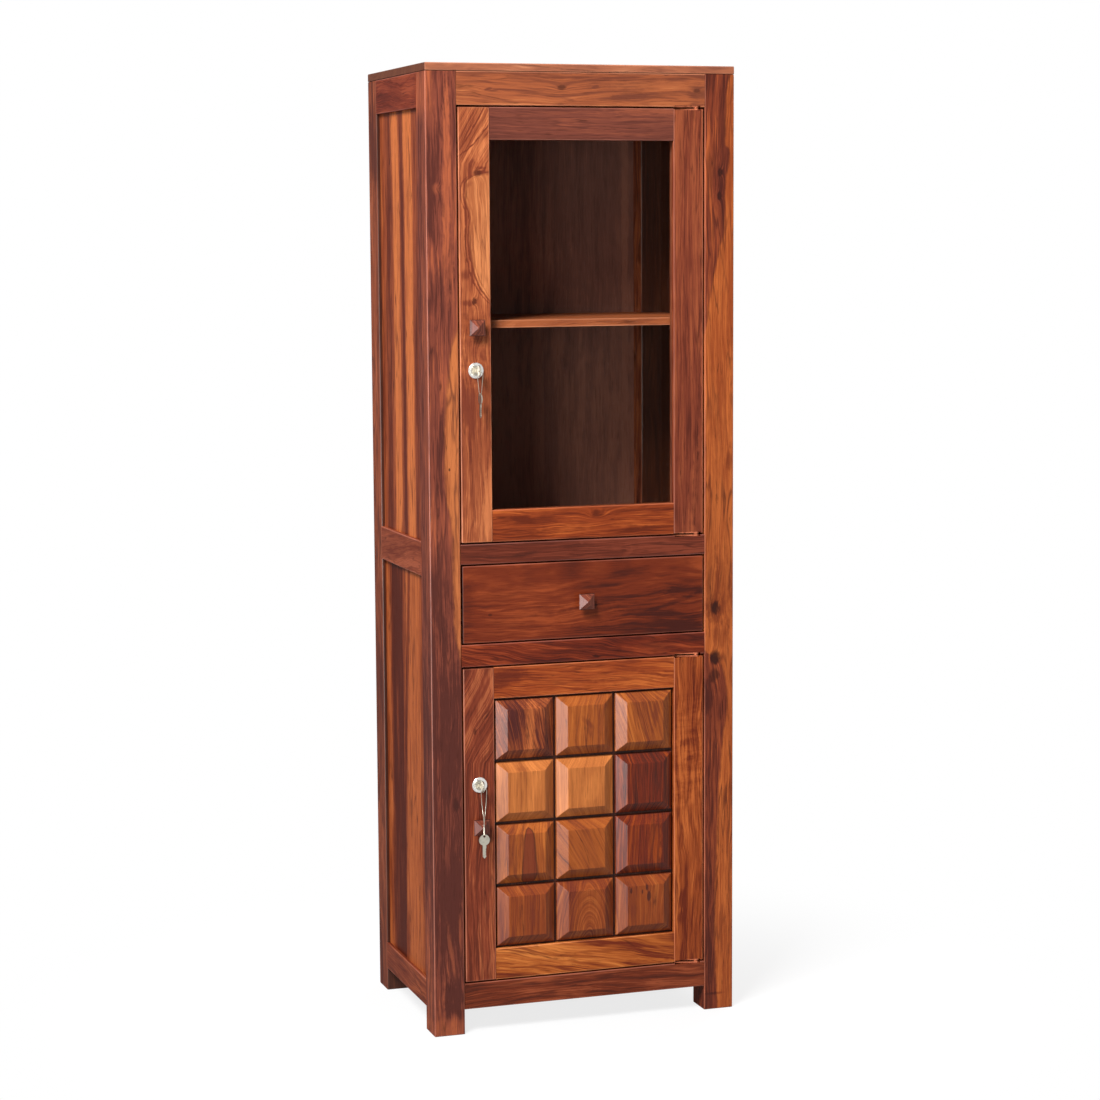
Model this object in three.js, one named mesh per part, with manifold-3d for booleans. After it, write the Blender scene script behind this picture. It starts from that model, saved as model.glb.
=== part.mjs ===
// Bar armoire in solid rosewood: a post-and-rail case with a glazed door above, a drawer in the
// middle and a door panelled with bevelled blocks below.
// Millimetres. X runs to the viewer's right, Y from the front face towards the back, Z up from
// the floor. All sizes are worked out in this case frame, and the whole is shifted at the end.

import * as THREE from 'three';
import { mergeVertices } from 'three/addons/utils/BufferGeometryUtils.js';
import Module from 'manifold-3d';

const wasm = await Module();
wasm.setup();

// Case, from the floor up
const overallWidth = 610;
const overallDepth = 406;
const overallHeight = 1830;
const topThickness = 15;
const postWidth = 60;
const postDepth = 60;
const legClearance = 48.5;
const bottomRailHeight = 50;
const lowerOpeningHeight = 610;
const drawerLowerRailHeight = 42;
const drawerOpeningHeight = 152;
const drawerUpperRailHeight = 38;
const frontTopRailHeight = 62;
const railThickness = 24;
const backRailThickness = 20;
const sideTopRailHeight = 65;
const sideMiddleRailHeight = 65;
const sideMiddleRailRise = 2.5;
const sideBottomRailHeight = 53;

// Joints in the wood
const fitGap = 0.3;
const tenonLength = 30;
const tenonThickness = 10;
const tenonShoulder = 10;
const stubTenonSize = 24;
const stubTenonHeight = 8;
const grooveDepth = 8;
const housingDepth = 8;
const cutOverrun = 1;
const postArris = 2;
const boardArris = 1.2;
const endArrisShare = 0.6;

// Panels and boards of the case
const sidePanelThickness = 9;
const sidePanelRecess = 7;
const backPanelThickness = 8;
const backPanelRecess = 7;
const floorThickness = 14;
const shelfThickness = 14;
const shelfRise = 416.5;
const shelfSetback = 32;

// Stemware rack under the top
const rackSlotCount = 3;
const rackPitch = 100;
const rackSlotWidth = 30;
const rackWebWidth = 18;
const rackWebHeight = 24;
const rackFlangeThickness = 9;
const rackSetback = 40;
const rackBackGap = 46;
const rackBattenDepth = 18;

// Doors
const doorGap = 3;
const doorThickness = 22;
const doorFrameWidth = 60;
const doorLip = 10;
const rebateWidth = 10;
const doorTenonThickness = 8;
const glassThickness = 4;
const beadArris = 0.8;

// Bevelled blocks of the lower door
const blockColumns = 3;
const blockRows = 4;
const blockGap = 5;
const blockMargin = 6;
const blockBevelX = 20.5;
const blockBevelZ = 18.5;
const blockRise = 9;
const blockShoulderDepth = 2;
const blockEdgeSoftening = 0.6;
const blockBackingThickness = 9;

// Drawer
const drawerFrontThickness = 20;
const drawerSideThickness = 12;
const drawerSideHeight = 110;
const drawerBackGap = 41;
const drawerBottomThickness = 6;
const drawerBottomRise = 12;
const drawerGrooveDepth = 6;
const tailLength = 12;
const tailCount = 3;
const tailWidthShare = 0.6;
const tailFlareShare = 0.12;
const guideStripWidth = 14;
const guideStripHeight = 12;
const guideClearance = 1.5;

// Pyramid knobs
const knobWidth = 30;
const knobStemWidth = 15;
const knobStemLength = 4;
const knobShoulderDepth = 12;
const knobRimDepth = 14;
const knobDepth = 22;
const knobDowelRadius = 4;
const knobDowelLength = 14;
const knobLockGap = 79.5;
const drawerKnobDrop = 3;

// Pivot hinges, let into the edges of the doors and rails
const pivotInset = 12;
const pivotDepth = 8;
const leafThickness = 2.5;
const leafWidth = 13;
const leafLength = 46;
const pinRadius = 2.5;
const pinSides = 16;
const collarRadius = 4.5;

// Cam locks with their keys
const upperLockRise = 325;
const lowerLockRise = 383.5;
const lockFlangeRadius = 15;
const lockFlangeDepth = 3;
const lockFlangeBevel = 1;
const lockBarrelRadius = 10;
const lockNutRadius = 15;
const lockNutSides = 6;
const lockNutDepth = 4;
const plugRadius = 7;
const plugHeadRadius = 9.3;
const plugHeadDepth = 2.1;
const plugProud = 0.6;
const roundSides = 24;
const camThickness = 2.5;
const camHalfWidth = 7;
const camReach = 42;
const camScrewRadius = 4.5;
const camScrewDepth = 2.5;
const mortiseClearance = 3;
const keyThickness = 2;
const keyBowRadius = 10.5;
const keyKnobClearance = 5.5;
const keyHoleRadius = 2.3;
const keyHoleInset = 3.5;
const keyBladeWidth = 7;
const keyBladeLength = 25;
const keyNotchDepth = 1.6;
const keyNotchCount = 4;
const keyShankWidth = 7.5;
const wireRadius = 0.6;
const loopTopRadius = 5.5;
const loopBottomRadius = 2.2;
const wireBite = 0.3;
const loopArcSteps = 8;
const loopLegSteps = 8;
const loopSides = 6;
const upperLoopLength = 40.7;
const lowerLoopLength = 90;

// Levels and places that follow from the sizes above
const halfWidth = overallWidth / 2;
const openingHalf = halfWidth - postWidth;
const caseTop = overallHeight - topThickness;
const bottomLevel = legClearance + bottomRailHeight;
const lowerOpeningTop = bottomLevel + lowerOpeningHeight;
const drawerLevel = lowerOpeningTop + drawerLowerRailHeight;
const drawerOpeningTop = drawerLevel + drawerOpeningHeight;
const upperLevel = drawerOpeningTop + drawerUpperRailHeight;
const upperOpeningTop = caseTop - frontTopRailHeight;
const sidePanelFace = halfWidth - sidePanelRecess;
const sidePanelInner = sidePanelFace - sidePanelThickness;
const sideRailInner = halfWidth - railThickness;
const backPanelFront = overallDepth - backPanelRecess - backPanelThickness;
const backRailFront = overallDepth - backRailThickness;
const doorHalf = openingHalf - doorGap;
const paneHalf = doorHalf - doorFrameWidth;
const lockX = -(doorHalf - doorFrameWidth / 2);
const pivotX = doorHalf - pivotInset;
const camFront = doorThickness + lockNutDepth + 2 * fitGap + fitGap;
const shelfTop = upperLevel + shelfRise;
const rackEnd = backRailFront - rackBackGap;
const drawerLength = backPanelFront - drawerBackGap;
const upperLockHeight = upperLevel + upperLockRise;
const lowerLockHeight = bottomLevel + lowerLockRise;
const upperKnobHeight = upperLockHeight + knobLockGap;
const lowerKnobHeight = lowerLockHeight - knobLockGap;
const keyHoleOut = knobDepth + keyKnobClearance;
const keyBowOffset = keyHoleOut - keyBowRadius + keyHoleInset - lockFlangeDepth - plugProud;
const frontProjection = keyHoleOut + keyBowRadius;
const wireDrop = keyHoleRadius - wireRadius - fitGap;

// Geometry and solids

function span(x0, x1, y0, y1, z0, z1) {
  return { low: new THREE.Vector3(x0, y0, z0), high: new THREE.Vector3(x1, y1, z1) };
}

function grown(box, gap) {
  return {
    low: box.low.clone().addScalar(-gap),
    high: box.high.clone().addScalar(gap),
  };
}

function mirrored(box) {
  return span(-box.high.x, -box.low.x, box.low.y, box.high.y, box.low.z, box.high.z);
}

function middleOf(box) {
  return box.low.clone().add(box.high).multiplyScalar(0.5);
}

function sizeOf(box) {
  return box.high.clone().sub(box.low);
}

function solidOf(geometry) {
  const bare = geometry.clone();
  bare.deleteAttribute('normal');
  bare.deleteAttribute('uv');
  const merged = mergeVertices(bare);
  return new wasm.Manifold(new wasm.Mesh({
    numProp: 3,
    vertProperties: Float32Array.from(merged.attributes.position.array),
    triVerts: Uint32Array.from(merged.index.array),
  }));
}

function geometryOf(solid) {
  const mesh = solid.getMesh();
  const geometry = new THREE.BufferGeometry();
  geometry.setAttribute('position', new THREE.BufferAttribute(mesh.vertProperties, 3));
  geometry.setIndex(new THREE.BufferAttribute(mesh.triVerts, 1));
  geometry.computeVertexNormals();
  return geometry;
}

function joined(first, others) {
  return others.reduce((sum, other) => sum.add(other), first);
}

function cut(first, others) {
  return others.reduce((rest, other) => rest.subtract(other), first);
}

function boxSolid(box) {
  const size = sizeOf(box);
  const middle = middleOf(box);
  const geometry = new THREE.BoxGeometry(size.x, size.y, size.z);
  geometry.translate(middle.x, middle.y, middle.z);
  return solidOf(geometry);
}

const unitX = new THREE.Vector3(1, 0, 0);
const unitY = new THREE.Vector3(0, 1, 0);
const unitZ = new THREE.Vector3(0, 0, 1);

// An outline is drawn in the two axes that follow the extrusion's own in the order X, Y, Z, X.
const extrusionFrames = {
  x: new THREE.Matrix4().makeBasis(unitY, unitZ, unitX),
  y: new THREE.Matrix4().makeBasis(unitZ, unitX, unitY),
  z: new THREE.Matrix4().makeBasis(unitX, unitY, unitZ),
};

function extruded(shape, axis, start, length, options = {}) {
  const geometry = new THREE.ExtrudeGeometry(shape, {
    depth: length,
    bevelEnabled: false,
    curveSegments: 6,
    ...options,
  });
  geometry.applyMatrix4(extrusionFrames[axis]);
  const offset = { x: unitX, y: unitY, z: unitZ }[axis].clone().multiplyScalar(start);
  geometry.translate(offset.x, offset.y, offset.z);
  return geometry;
}

function roundedRectangle(low, high, radius) {
  const shape = new THREE.Shape();
  shape.moveTo(low.x + radius, low.y);
  shape.absarc(high.x - radius, low.y + radius, radius, -Math.PI / 2, 0);
  shape.absarc(high.x - radius, high.y - radius, radius, 0, Math.PI / 2);
  shape.absarc(low.x + radius, high.y - radius, radius, Math.PI / 2, Math.PI);
  shape.absarc(low.x + radius, low.y + radius, radius, Math.PI, 3 * Math.PI / 2);
  shape.closePath();
  return shape;
}

const outlineAxes = { x: ['y', 'z'], y: ['z', 'x'], z: ['x', 'y'] };

// A board with softened long edges, its ends softened too unless they meet a shoulder.
function easedBoard(box, axis, arris, squareEnds = false) {
  const [across, up] = outlineAxes[axis];
  const low = new THREE.Vector2(box.low[across], box.low[up]);
  const high = new THREE.Vector2(box.high[across], box.high[up]);
  const length = box.high[axis] - box.low[axis];
  const shape = roundedRectangle(low, high, arris);
  if (squareEnds) {
    return solidOf(extruded(shape, axis, box.low[axis], length, { curveSegments: 1 }));
  }
  const ease = arris * endArrisShare;
  return solidOf(extruded(shape, axis, box.low[axis] + ease, length - 2 * ease, {
    curveSegments: 1,
    bevelEnabled: true,
    bevelThickness: ease,
    bevelSize: ease,
    bevelOffset: -ease,
    bevelSegments: 2,
  }));
}

// A round bar along Y.
function roundBar(x, z, radius, y0, y1, sides = roundSides) {
  const geometry = new THREE.CylinderGeometry(radius, radius, y1 - y0, sides);
  geometry.translate(x, (y0 + y1) / 2, z);
  return solidOf(geometry);
}

// A round bar along Z.
function uprightBar(x, y, radius, z0, z1, sides = pinSides) {
  const geometry = new THREE.CylinderGeometry(radius, radius, z1 - z0, sides);
  geometry.rotateX(Math.PI / 2);
  geometry.translate(x, y, (z0 + z1) / 2);
  return solidOf(geometry);
}

// Materials, one for each piece

function wood(colour, roughness = 0.38) {
  return new THREE.MeshStandardMaterial({ color: colour, roughness, metalness: 0 });
}

function metal(colour, roughness = 0.3) {
  return new THREE.MeshStandardMaterial({ color: colour, roughness, metalness: 1 });
}

function glass() {
  return new THREE.MeshStandardMaterial({
    color: 0xdfe8e4,
    roughness: 0.05,
    metalness: 0,
    transparent: true,
    opacity: 0.25,
  });
}

// Assemblies: the case carries the two doors and the drawer, and each is a group of its own

const armoire = new THREE.Group();
const caseGroup = new THREE.Group();
const upperDoor = new THREE.Group();
const lowerDoor = new THREE.Group();
const drawer = new THREE.Group();
armoire.add(caseGroup, upperDoor, lowerDoor, drawer);
upperDoor.position.set(pivotX, pivotDepth, upperLevel);
lowerDoor.position.set(pivotX, pivotDepth, bottomLevel);
drawer.position.set(0, 0, drawerLevel);

// A piece keeps its geometry round its own anchor, and the anchor places it in its group.
function addPiece(group, name, solid, material, anchor) {
  const geometry = geometryOf(solid);
  geometry.translate(-anchor.x, -anchor.y, -anchor.z);
  const mesh = new THREE.Mesh(geometry, material);
  mesh.name = name;
  mesh.position.copy(anchor).sub(group.position);
  group.add(mesh);
}

// Rails and their tenons

function railTenon(rail, axis, thicknessAxis, side, thickness, shoulders) {
  const tenon = { low: rail.low.clone(), high: rail.high.clone() };
  const middle = (rail.low[thicknessAxis] + rail.high[thicknessAxis]) / 2;
  tenon.low[thicknessAxis] = middle - thickness / 2;
  tenon.high[thicknessAxis] = middle + thickness / 2;
  tenon.low.z = rail.low.z + shoulders.bottom;
  tenon.high.z = rail.high.z - shoulders.top;
  if (side < 0) {
    tenon.high[axis] = rail.low[axis] + cutOverrun;
    tenon.low[axis] = rail.low[axis] - tenonLength;
  } else {
    tenon.low[axis] = rail.high[axis] - cutOverrun;
    tenon.high[axis] = rail.high[axis] + tenonLength;
  }
  return tenon;
}

const evenShoulders = { bottom: tenonShoulder, top: tenonShoulder };

function frontRail(z0, z1) {
  const box = span(-openingHalf + fitGap, openingHalf - fitGap, 0, railThickness, z0, z1);
  const tenons = [-1, 1].map((side) =>
    railTenon(box, 'x', 'y', side, tenonThickness, evenShoulders));
  return { box, tenons };
}

function backRail(z0, z1) {
  const box = span(-openingHalf + fitGap, openingHalf - fitGap,
    backRailFront, overallDepth, z0, z1);
  const tenons = [-1, 1].map((side) =>
    railTenon(box, 'x', 'y', side, tenonThickness, evenShoulders));
  return { box, tenons };
}

function leftSideRail(z0, z1) {
  const box = span(-halfWidth, -sideRailInner,
    postDepth + fitGap, overallDepth - postDepth - fitGap, z0, z1);
  const tenons = [-1, 1].map((end) =>
    railTenon(box, 'y', 'x', end, tenonThickness, evenShoulders));
  return { box, tenons };
}

const frontRails = {
  front_top_rail: frontRail(upperOpeningTop, caseTop - fitGap),
  drawer_upper_rail: frontRail(drawerOpeningTop, upperLevel),
  drawer_lower_rail: frontRail(lowerOpeningTop, drawerLevel),
  front_bottom_rail: frontRail(legClearance, bottomLevel),
};

const backTopRailLow = caseTop - sideTopRailHeight;
const backRails = {
  back_top_rail: backRail(backTopRailLow, caseTop - fitGap),
  back_bottom_rail: backRail(bottomLevel - sideBottomRailHeight, bottomLevel),
};

const sideMiddleHigh = upperLevel + sideMiddleRailRise;
const sideMiddleLow = sideMiddleHigh - sideMiddleRailHeight;
const sideTopLow = caseTop - sideTopRailHeight;
const sideRails = {
  top_rail: leftSideRail(sideTopLow, caseTop - fitGap),
  middle_rail: leftSideRail(sideMiddleLow, sideMiddleHigh),
  bottom_rail: leftSideRail(bottomLevel - sideBottomRailHeight, bottomLevel),
};

// Panels sit in grooves in the rails and posts

function leftSidePanel(z0, z1) {
  const reach = grooveDepth - fitGap;
  return span(-sidePanelFace, -sidePanelInner,
    postDepth - reach, overallDepth - postDepth + reach, z0 - reach, z1 + reach);
}

const sidePanels = {
  upper_panel: leftSidePanel(sideMiddleHigh, sideTopLow),
  lower_panel: leftSidePanel(bottomLevel, sideMiddleLow),
};

const backPanelBox = span(
  -(openingHalf + grooveDepth - fitGap), openingHalf + grooveDepth - fitGap,
  backPanelFront, backPanelFront + backPanelThickness,
  bottomLevel - grooveDepth + fitGap, backTopRailLow + grooveDepth - fitGap);

// Boards run between the posts and are housed in them at each corner

const boards = {
  upper_floor: {
    low: upperLevel - floorThickness,
    high: upperLevel,
    front: railThickness + fitGap,
    back: backPanelFront - fitGap,
    side: sideRailInner - fitGap,
  },
  drawer_bearer: {
    low: drawerLevel - floorThickness,
    high: drawerLevel,
    front: railThickness + fitGap,
    back: backPanelFront - fitGap,
    side: sidePanelInner - fitGap,
  },
  bottom_board: {
    low: bottomLevel - floorThickness,
    high: bottomLevel,
    front: railThickness + fitGap,
    back: backRailFront - fitGap,
    side: sideRailInner - fitGap,
  },
  upper_shelf: {
    low: shelfTop - shelfThickness,
    high: shelfTop,
    front: shelfSetback,
    back: backPanelFront - fitGap,
    side: sidePanelInner - fitGap,
  },
};

function boardOutline(board) {
  const neck = openingHalf + housingDepth - fitGap;
  const frontStep = postDepth + fitGap;
  const backStep = overallDepth - postDepth - fitGap;
  const corners = [
    [neck, board.front],
    [neck, frontStep],
    [board.side, frontStep],
    [board.side, backStep],
    [neck, backStep],
    [neck, board.back],
  ];
  const mirroredCorners = corners.map(([x, y]) => [-x, y]).reverse();
  const points = [...corners, ...mirroredCorners].map(([x, y]) => new THREE.Vector2(x, y));
  return new THREE.Shape(points);
}

function boardSolid(board) {
  return solidOf(extruded(boardOutline(board), 'z', board.low, board.high - board.low));
}

// The housing that a board needs in the left posts, at the front and at the back.
function leftHousings(board) {
  const x0 = -(openingHalf + housingDepth);
  const x1 = -openingHalf + cutOverrun;
  const z0 = board.low - fitGap;
  const z1 = board.high + fitGap;
  return [
    span(x0, x1, board.front - fitGap, postDepth + cutOverrun, z0, z1),
    span(x0, x1, overallDepth - postDepth - cutOverrun, board.back + fitGap, z0, z1),
  ];
}

// Posts

const lockHeights = { upper: upperLockHeight, lower: lowerLockHeight };

// The cam swings up from below and ends level, so its mortise reaches down further than up.
function lockMortise(height) {
  const entry = -lockX - openingHalf;
  const drop = Math.sqrt(camReach ** 2 - entry ** 2);
  return span(
    lockX - camReach - mortiseClearance, -openingHalf + cutOverrun,
    camFront - mortiseClearance + fitGap, camFront + camThickness + mortiseClearance - fitGap,
    height - drop - mortiseClearance, height + camHalfWidth + mortiseClearance);
}

const stubTenonGap = stubTenonSize / 2;

function stubTenon(x, y) {
  return span(x - stubTenonGap, x + stubTenonGap, y - stubTenonGap, y + stubTenonGap,
    caseTop - fitGap - cutOverrun, caseTop + stubTenonHeight - fitGap);
}

const postMiddleX = halfWidth - postWidth / 2;
const frontPostMiddleY = postDepth / 2;
const backPostMiddleY = overallDepth - postDepth / 2;

function sidePanelGroove(y0, y1) {
  return span(-sidePanelFace - fitGap, -sidePanelInner + fitGap, y0, y1,
    bottomLevel - grooveDepth, sideTopLow + grooveDepth);
}

const backPanelGroove = span(
  -(openingHalf + grooveDepth), -openingHalf + cutOverrun,
  backPanelFront - fitGap, backPanelFront + backPanelThickness + fitGap,
  bottomLevel - grooveDepth, backTopRailLow + grooveDepth);

// Every cut that a left post needs for the pieces it holds.
function leftPostCuts(isFront) {
  const cuts = [];
  const end = isFront ? 0 : 1;
  const crossRails = isFront ? frontRails : backRails;
  for (const rail of Object.values(crossRails)) {
    cuts.push(grown(rail.tenons[0], fitGap));
  }
  for (const rail of Object.values(sideRails)) {
    cuts.push(grown(rail.tenons[end], fitGap));
  }
  for (const board of Object.values(boards)) {
    cuts.push(leftHousings(board)[end]);
  }
  if (isFront) {
    cuts.push(sidePanelGroove(postDepth - grooveDepth, postDepth + cutOverrun));
  } else {
    const backPostFront = overallDepth - postDepth;
    cuts.push(sidePanelGroove(backPostFront - cutOverrun, backPostFront + grooveDepth));
    cuts.push(backPanelGroove);
  }
  return cuts;
}

function addPost(name, side, isFront, colour) {
  const y0 = isFront ? 0 : overallDepth - postDepth;
  const leftBox = span(-halfWidth, -openingHalf, y0, y0 + postDepth, 0, caseTop - fitGap);
  const box = side < 0 ? leftBox : mirrored(leftBox);
  const middleY = isFront ? frontPostMiddleY : backPostMiddleY;
  const leftCuts = leftPostCuts(isFront);
  const cuts = side < 0 ? leftCuts : leftCuts.map(mirrored);
  if (side < 0 && isFront) {
    cuts.push(...Object.values(lockHeights).map(lockMortise));
  }
  const blank = easedBoard(box, 'z', postArris).add(boxSolid(stubTenon(side * postMiddleX, middleY)));
  const anchor = new THREE.Vector3(side * postMiddleX, middleY, 0);
  addPiece(caseGroup, name, cut(blank, cuts.map(boxSolid)), wood(colour), anchor);
}

addPost('front_left_post', -1, true, 0x7d3a26);
addPost('front_right_post', 1, true, 0x8c4527);
addPost('back_left_post', -1, false, 0x6e3323);
addPost('back_right_post', 1, false, 0x6e3323);

function addTopBoard() {
  const box = span(-halfWidth, halfWidth, 0, overallDepth, caseTop, overallHeight);
  const pockets = [];
  for (const side of [-1, 1]) {
    for (const y of [frontPostMiddleY, backPostMiddleY]) {
      pockets.push(boxSolid(grown(stubTenon(side * postMiddleX, y), fitGap)));
    }
  }
  const solid = cut(easedBoard(box, 'x', postArris), pockets);
  addPiece(caseGroup, 'top_board', solid, wood(0x97502c), middleOf(box));
}

addTopBoard();

// Pivot hinges: a leaf with the pin in the rail, a leaf with the hole in the door

const hinges = [
  { door: 'upper', end: 'top', face: upperOpeningTop, up: 1, rail: 'front_top_rail' },
  { door: 'upper', end: 'bottom', face: upperLevel, up: -1, rail: 'drawer_upper_rail' },
  { door: 'lower', end: 'top', face: lowerOpeningTop, up: 1, rail: 'drawer_lower_rail' },
  { door: 'lower', end: 'bottom', face: bottomLevel, up: -1, rail: 'front_bottom_rail' },
];

const leafFront = pivotDepth - leafWidth / 2;
const leafBack = pivotDepth + leafWidth / 2;

function ordered(a, b) {
  return a < b ? [a, b] : [b, a];
}

// A leaf is a bar with a round end about the pivot.
function leafSolid(z0, z1) {
  const radius = leafWidth / 2;
  const shape = new THREE.Shape();
  shape.moveTo(pivotX - leafLength, leafFront);
  shape.absarc(pivotX, pivotDepth, radius, -Math.PI / 2, Math.PI / 2);
  shape.lineTo(pivotX - leafLength, leafBack);
  shape.closePath();
  return solidOf(extruded(shape, 'z', z0, z1 - z0));
}

// The pocket is open at the front, so that the leaf's edge shows there.
function leafPocket(z0, z1) {
  return span(pivotX - leafLength - fitGap, pivotX + leafWidth / 2 + fitGap,
    -cutOverrun, leafBack + fitGap, z0, z1);
}

function frameLeafLevels(hinge) {
  return ordered(hinge.face, hinge.face + hinge.up * leafThickness);
}

function doorLeafLevels(hinge) {
  const edge = hinge.face - hinge.up * doorGap;
  return ordered(edge, edge - hinge.up * leafThickness);
}

function frameLeafPocket(hinge) {
  const [z0, z1] = ordered(hinge.face - hinge.up * cutOverrun,
    hinge.face + hinge.up * (leafThickness + fitGap));
  return leafPocket(z0, z1);
}

function doorLeafPocket(hinge) {
  const edge = hinge.face - hinge.up * doorGap;
  const [z0, z1] = ordered(edge + hinge.up * cutOverrun,
    edge - hinge.up * (leafThickness + fitGap));
  return leafPocket(z0, z1);
}

function addHinge(hinge) {
  const doorGroup = hinge.door === 'upper' ? upperDoor : lowerDoor;
  const pinEnd = hinge.face - hinge.up * (doorGap + leafThickness);
  const collarEnd = hinge.face - hinge.up * (doorGap - fitGap);
  const [frameLow, frameHigh] = frameLeafLevels(hinge);
  const frameMiddle = (frameLow + frameHigh) / 2;
  const [pinLow, pinHigh] = ordered(frameMiddle, pinEnd);
  const [collarLow, collarHigh] = ordered(frameMiddle, collarEnd);
  const frameLeaf = joined(leafSolid(frameLow, frameHigh), [
    uprightBar(pivotX, pivotDepth, collarRadius, collarLow, collarHigh),
    uprightBar(pivotX, pivotDepth, pinRadius, pinLow, pinHigh),
  ]);
  const frameAnchor = new THREE.Vector3(pivotX, pivotDepth, hinge.face);
  const frameName = `${hinge.door}_door_${hinge.end}_pivot_pin_leaf`;
  addPiece(caseGroup, frameName, frameLeaf, metal(0x8f8a80, 0.35), frameAnchor);

  const [doorLow, doorHigh] = doorLeafLevels(hinge);
  const bore = uprightBar(pivotX, pivotDepth, pinRadius + fitGap,
    doorLow - cutOverrun, doorHigh + cutOverrun);
  const doorLeaf = leafSolid(doorLow, doorHigh).subtract(bore);
  const doorAnchor = new THREE.Vector3(pivotX, pivotDepth, doorLow);
  const doorName = `${hinge.door}_door_${hinge.end}_pivot_door_leaf`;
  addPiece(doorGroup, doorName, doorLeaf, metal(0x8f8a80, 0.35), doorAnchor);
}

hinges.forEach(addHinge);

// Rails of the case

function addCrossRails(rails, colours) {
  for (const [name, rail] of Object.entries(rails)) {
    const blank = joined(easedBoard(rail.box, 'x', boardArris, true), rail.tenons.map(boxSolid));
    const pockets = hinges
      .filter((hinge) => hinge.rail === name)
      .map((hinge) => boxSolid(frameLeafPocket(hinge)));
    const grooves = rails === backRails ? [boxSolid(grown(backPanelBox, fitGap))] : [];
    const solid = cut(blank, [...pockets, ...grooves]);
    addPiece(caseGroup, name, solid, wood(colours[name]), middleOf(rail.box));
  }
}

addCrossRails(frontRails, {
  front_top_rail: 0xa4572f,
  drawer_upper_rail: 0x6f3326,
  drawer_lower_rail: 0x8a3f22,
  front_bottom_rail: 0x7a3720,
});
addCrossRails(backRails, { back_top_rail: 0x6e3323, back_bottom_rail: 0x6e3323 });

function addSideRails(sideName, flip) {
  const grooves = Object.values(sidePanels).map((panel) => grown(panel, fitGap));
  for (const [name, rail] of Object.entries(sideRails)) {
    const box = flip(rail.box);
    const blank = joined(easedBoard(box, 'y', boardArris, true),
      rail.tenons.map((tenon) => boxSolid(flip(tenon))));
    const solid = cut(blank, grooves.map((groove) => boxSolid(flip(groove))));
    addPiece(caseGroup, `${sideName}_${name}`, solid, wood(0x7e3b25), middleOf(box));
  }
}

function addSidePanels(sideName, flip) {
  for (const [name, panel] of Object.entries(sidePanels)) {
    const box = flip(panel);
    addPiece(caseGroup, `${sideName}_${name}`, boxSolid(box), wood(0x97502c), middleOf(box));
  }
}

const asDrawn = (box) => box;
addSideRails('left', asDrawn);
addSideRails('right', mirrored);
addSidePanels('left', asDrawn);
addSidePanels('right', mirrored);
addPiece(caseGroup, 'back_panel', boxSolid(backPanelBox), wood(0x4a2a1c), middleOf(backPanelBox));

// Floors, bearer and shelf

function boardAnchor(board) {
  return new THREE.Vector3(0, (board.front + board.back) / 2, board.low);
}

for (const name of ['upper_floor', 'bottom_board', 'upper_shelf']) {
  const board = boards[name];
  addPiece(caseGroup, name, boardSolid(board), wood(0x8a4627), boardAnchor(board));
}

// The bearer carries the drawer and has a strip outside each drawer side to guide it.
function addDrawerBearer() {
  const board = boards.drawer_bearer;
  const strips = [-1, 1].map((side) => {
    const inner = side * (doorHalf + guideClearance);
    const outer = inner + side * guideStripWidth;
    const [x0, x1] = ordered(inner, outer);
    return boxSolid(span(x0, x1, postDepth + fitGap, overallDepth - postDepth - fitGap,
      board.high - cutOverrun, board.high + guideStripHeight));
  });
  const solid = joined(boardSolid(board), strips);
  addPiece(caseGroup, 'drawer_bearer', solid, wood(0x7a3f25), boardAnchor(board));
}

addDrawerBearer();

// Stemware rack: T-shaped runners under the top, joined by a batten at the back

function addStemwareRack() {
  const rackTop = caseTop - fitGap;
  const flangeTop = caseTop - rackWebHeight;
  const flangeLow = flangeTop - rackFlangeThickness;
  const flangeHalf = (rackPitch - rackSlotWidth) / 2;
  const webHalf = rackWebWidth / 2;
  const runners = [];
  const runnerCount = rackSlotCount + 1;
  for (let i = 0; i < runnerCount; i += 1) {
    const x = (i - (runnerCount - 1) / 2) * rackPitch;
    const points = [
      [flangeLow, x - flangeHalf],
      [flangeLow, x + flangeHalf],
      [flangeTop, x + flangeHalf],
      [flangeTop, x + webHalf],
      [rackTop, x + webHalf],
      [rackTop, x - webHalf],
      [flangeTop, x - webHalf],
      [flangeTop, x - flangeHalf],
    ].map(([z, across]) => new THREE.Vector2(z, across));
    const shape = new THREE.Shape(points.reverse());
    runners.push(solidOf(extruded(shape, 'y', rackSetback, rackEnd - rackSetback)));
  }
  const rackHalf = (runnerCount - 1) / 2 * rackPitch + flangeHalf;
  const batten = boxSolid(span(-rackHalf, rackHalf, rackEnd - rackBattenDepth, rackEnd,
    flangeLow, rackTop));
  const anchor = new THREE.Vector3(0, rackSetback, rackTop);
  addPiece(caseGroup, 'stemware_rack', joined(batten, runners), wood(0x8a4627), anchor);
}

addStemwareRack();

// Knobs: a square pyramid on a flared stem, with a round dowel in the wood behind it

function knobSolid(x, z) {
  const corner = Math.SQRT2 / 2;
  const profile = [
    [0, -knobDepth],
    [knobWidth * corner, -knobRimDepth],
    [knobWidth * corner, -knobShoulderDepth],
    [knobStemWidth * corner, -knobStemLength],
    [knobStemWidth * corner, -fitGap],
    [0, -fitGap],
  ].map(([radius, y]) => new THREE.Vector2(radius, y));
  const head = new THREE.LatheGeometry(profile, 4, Math.PI / 4);
  head.translate(x, 0, z);
  const dowel = roundBar(x, z, knobDowelRadius, -knobStemLength, knobDowelLength);
  return solidOf(head).add(dowel);
}

function knobHole(x, z) {
  return roundBar(x, z, knobDowelRadius + fitGap, -cutOverrun, knobDowelLength + fitGap);
}

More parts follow.
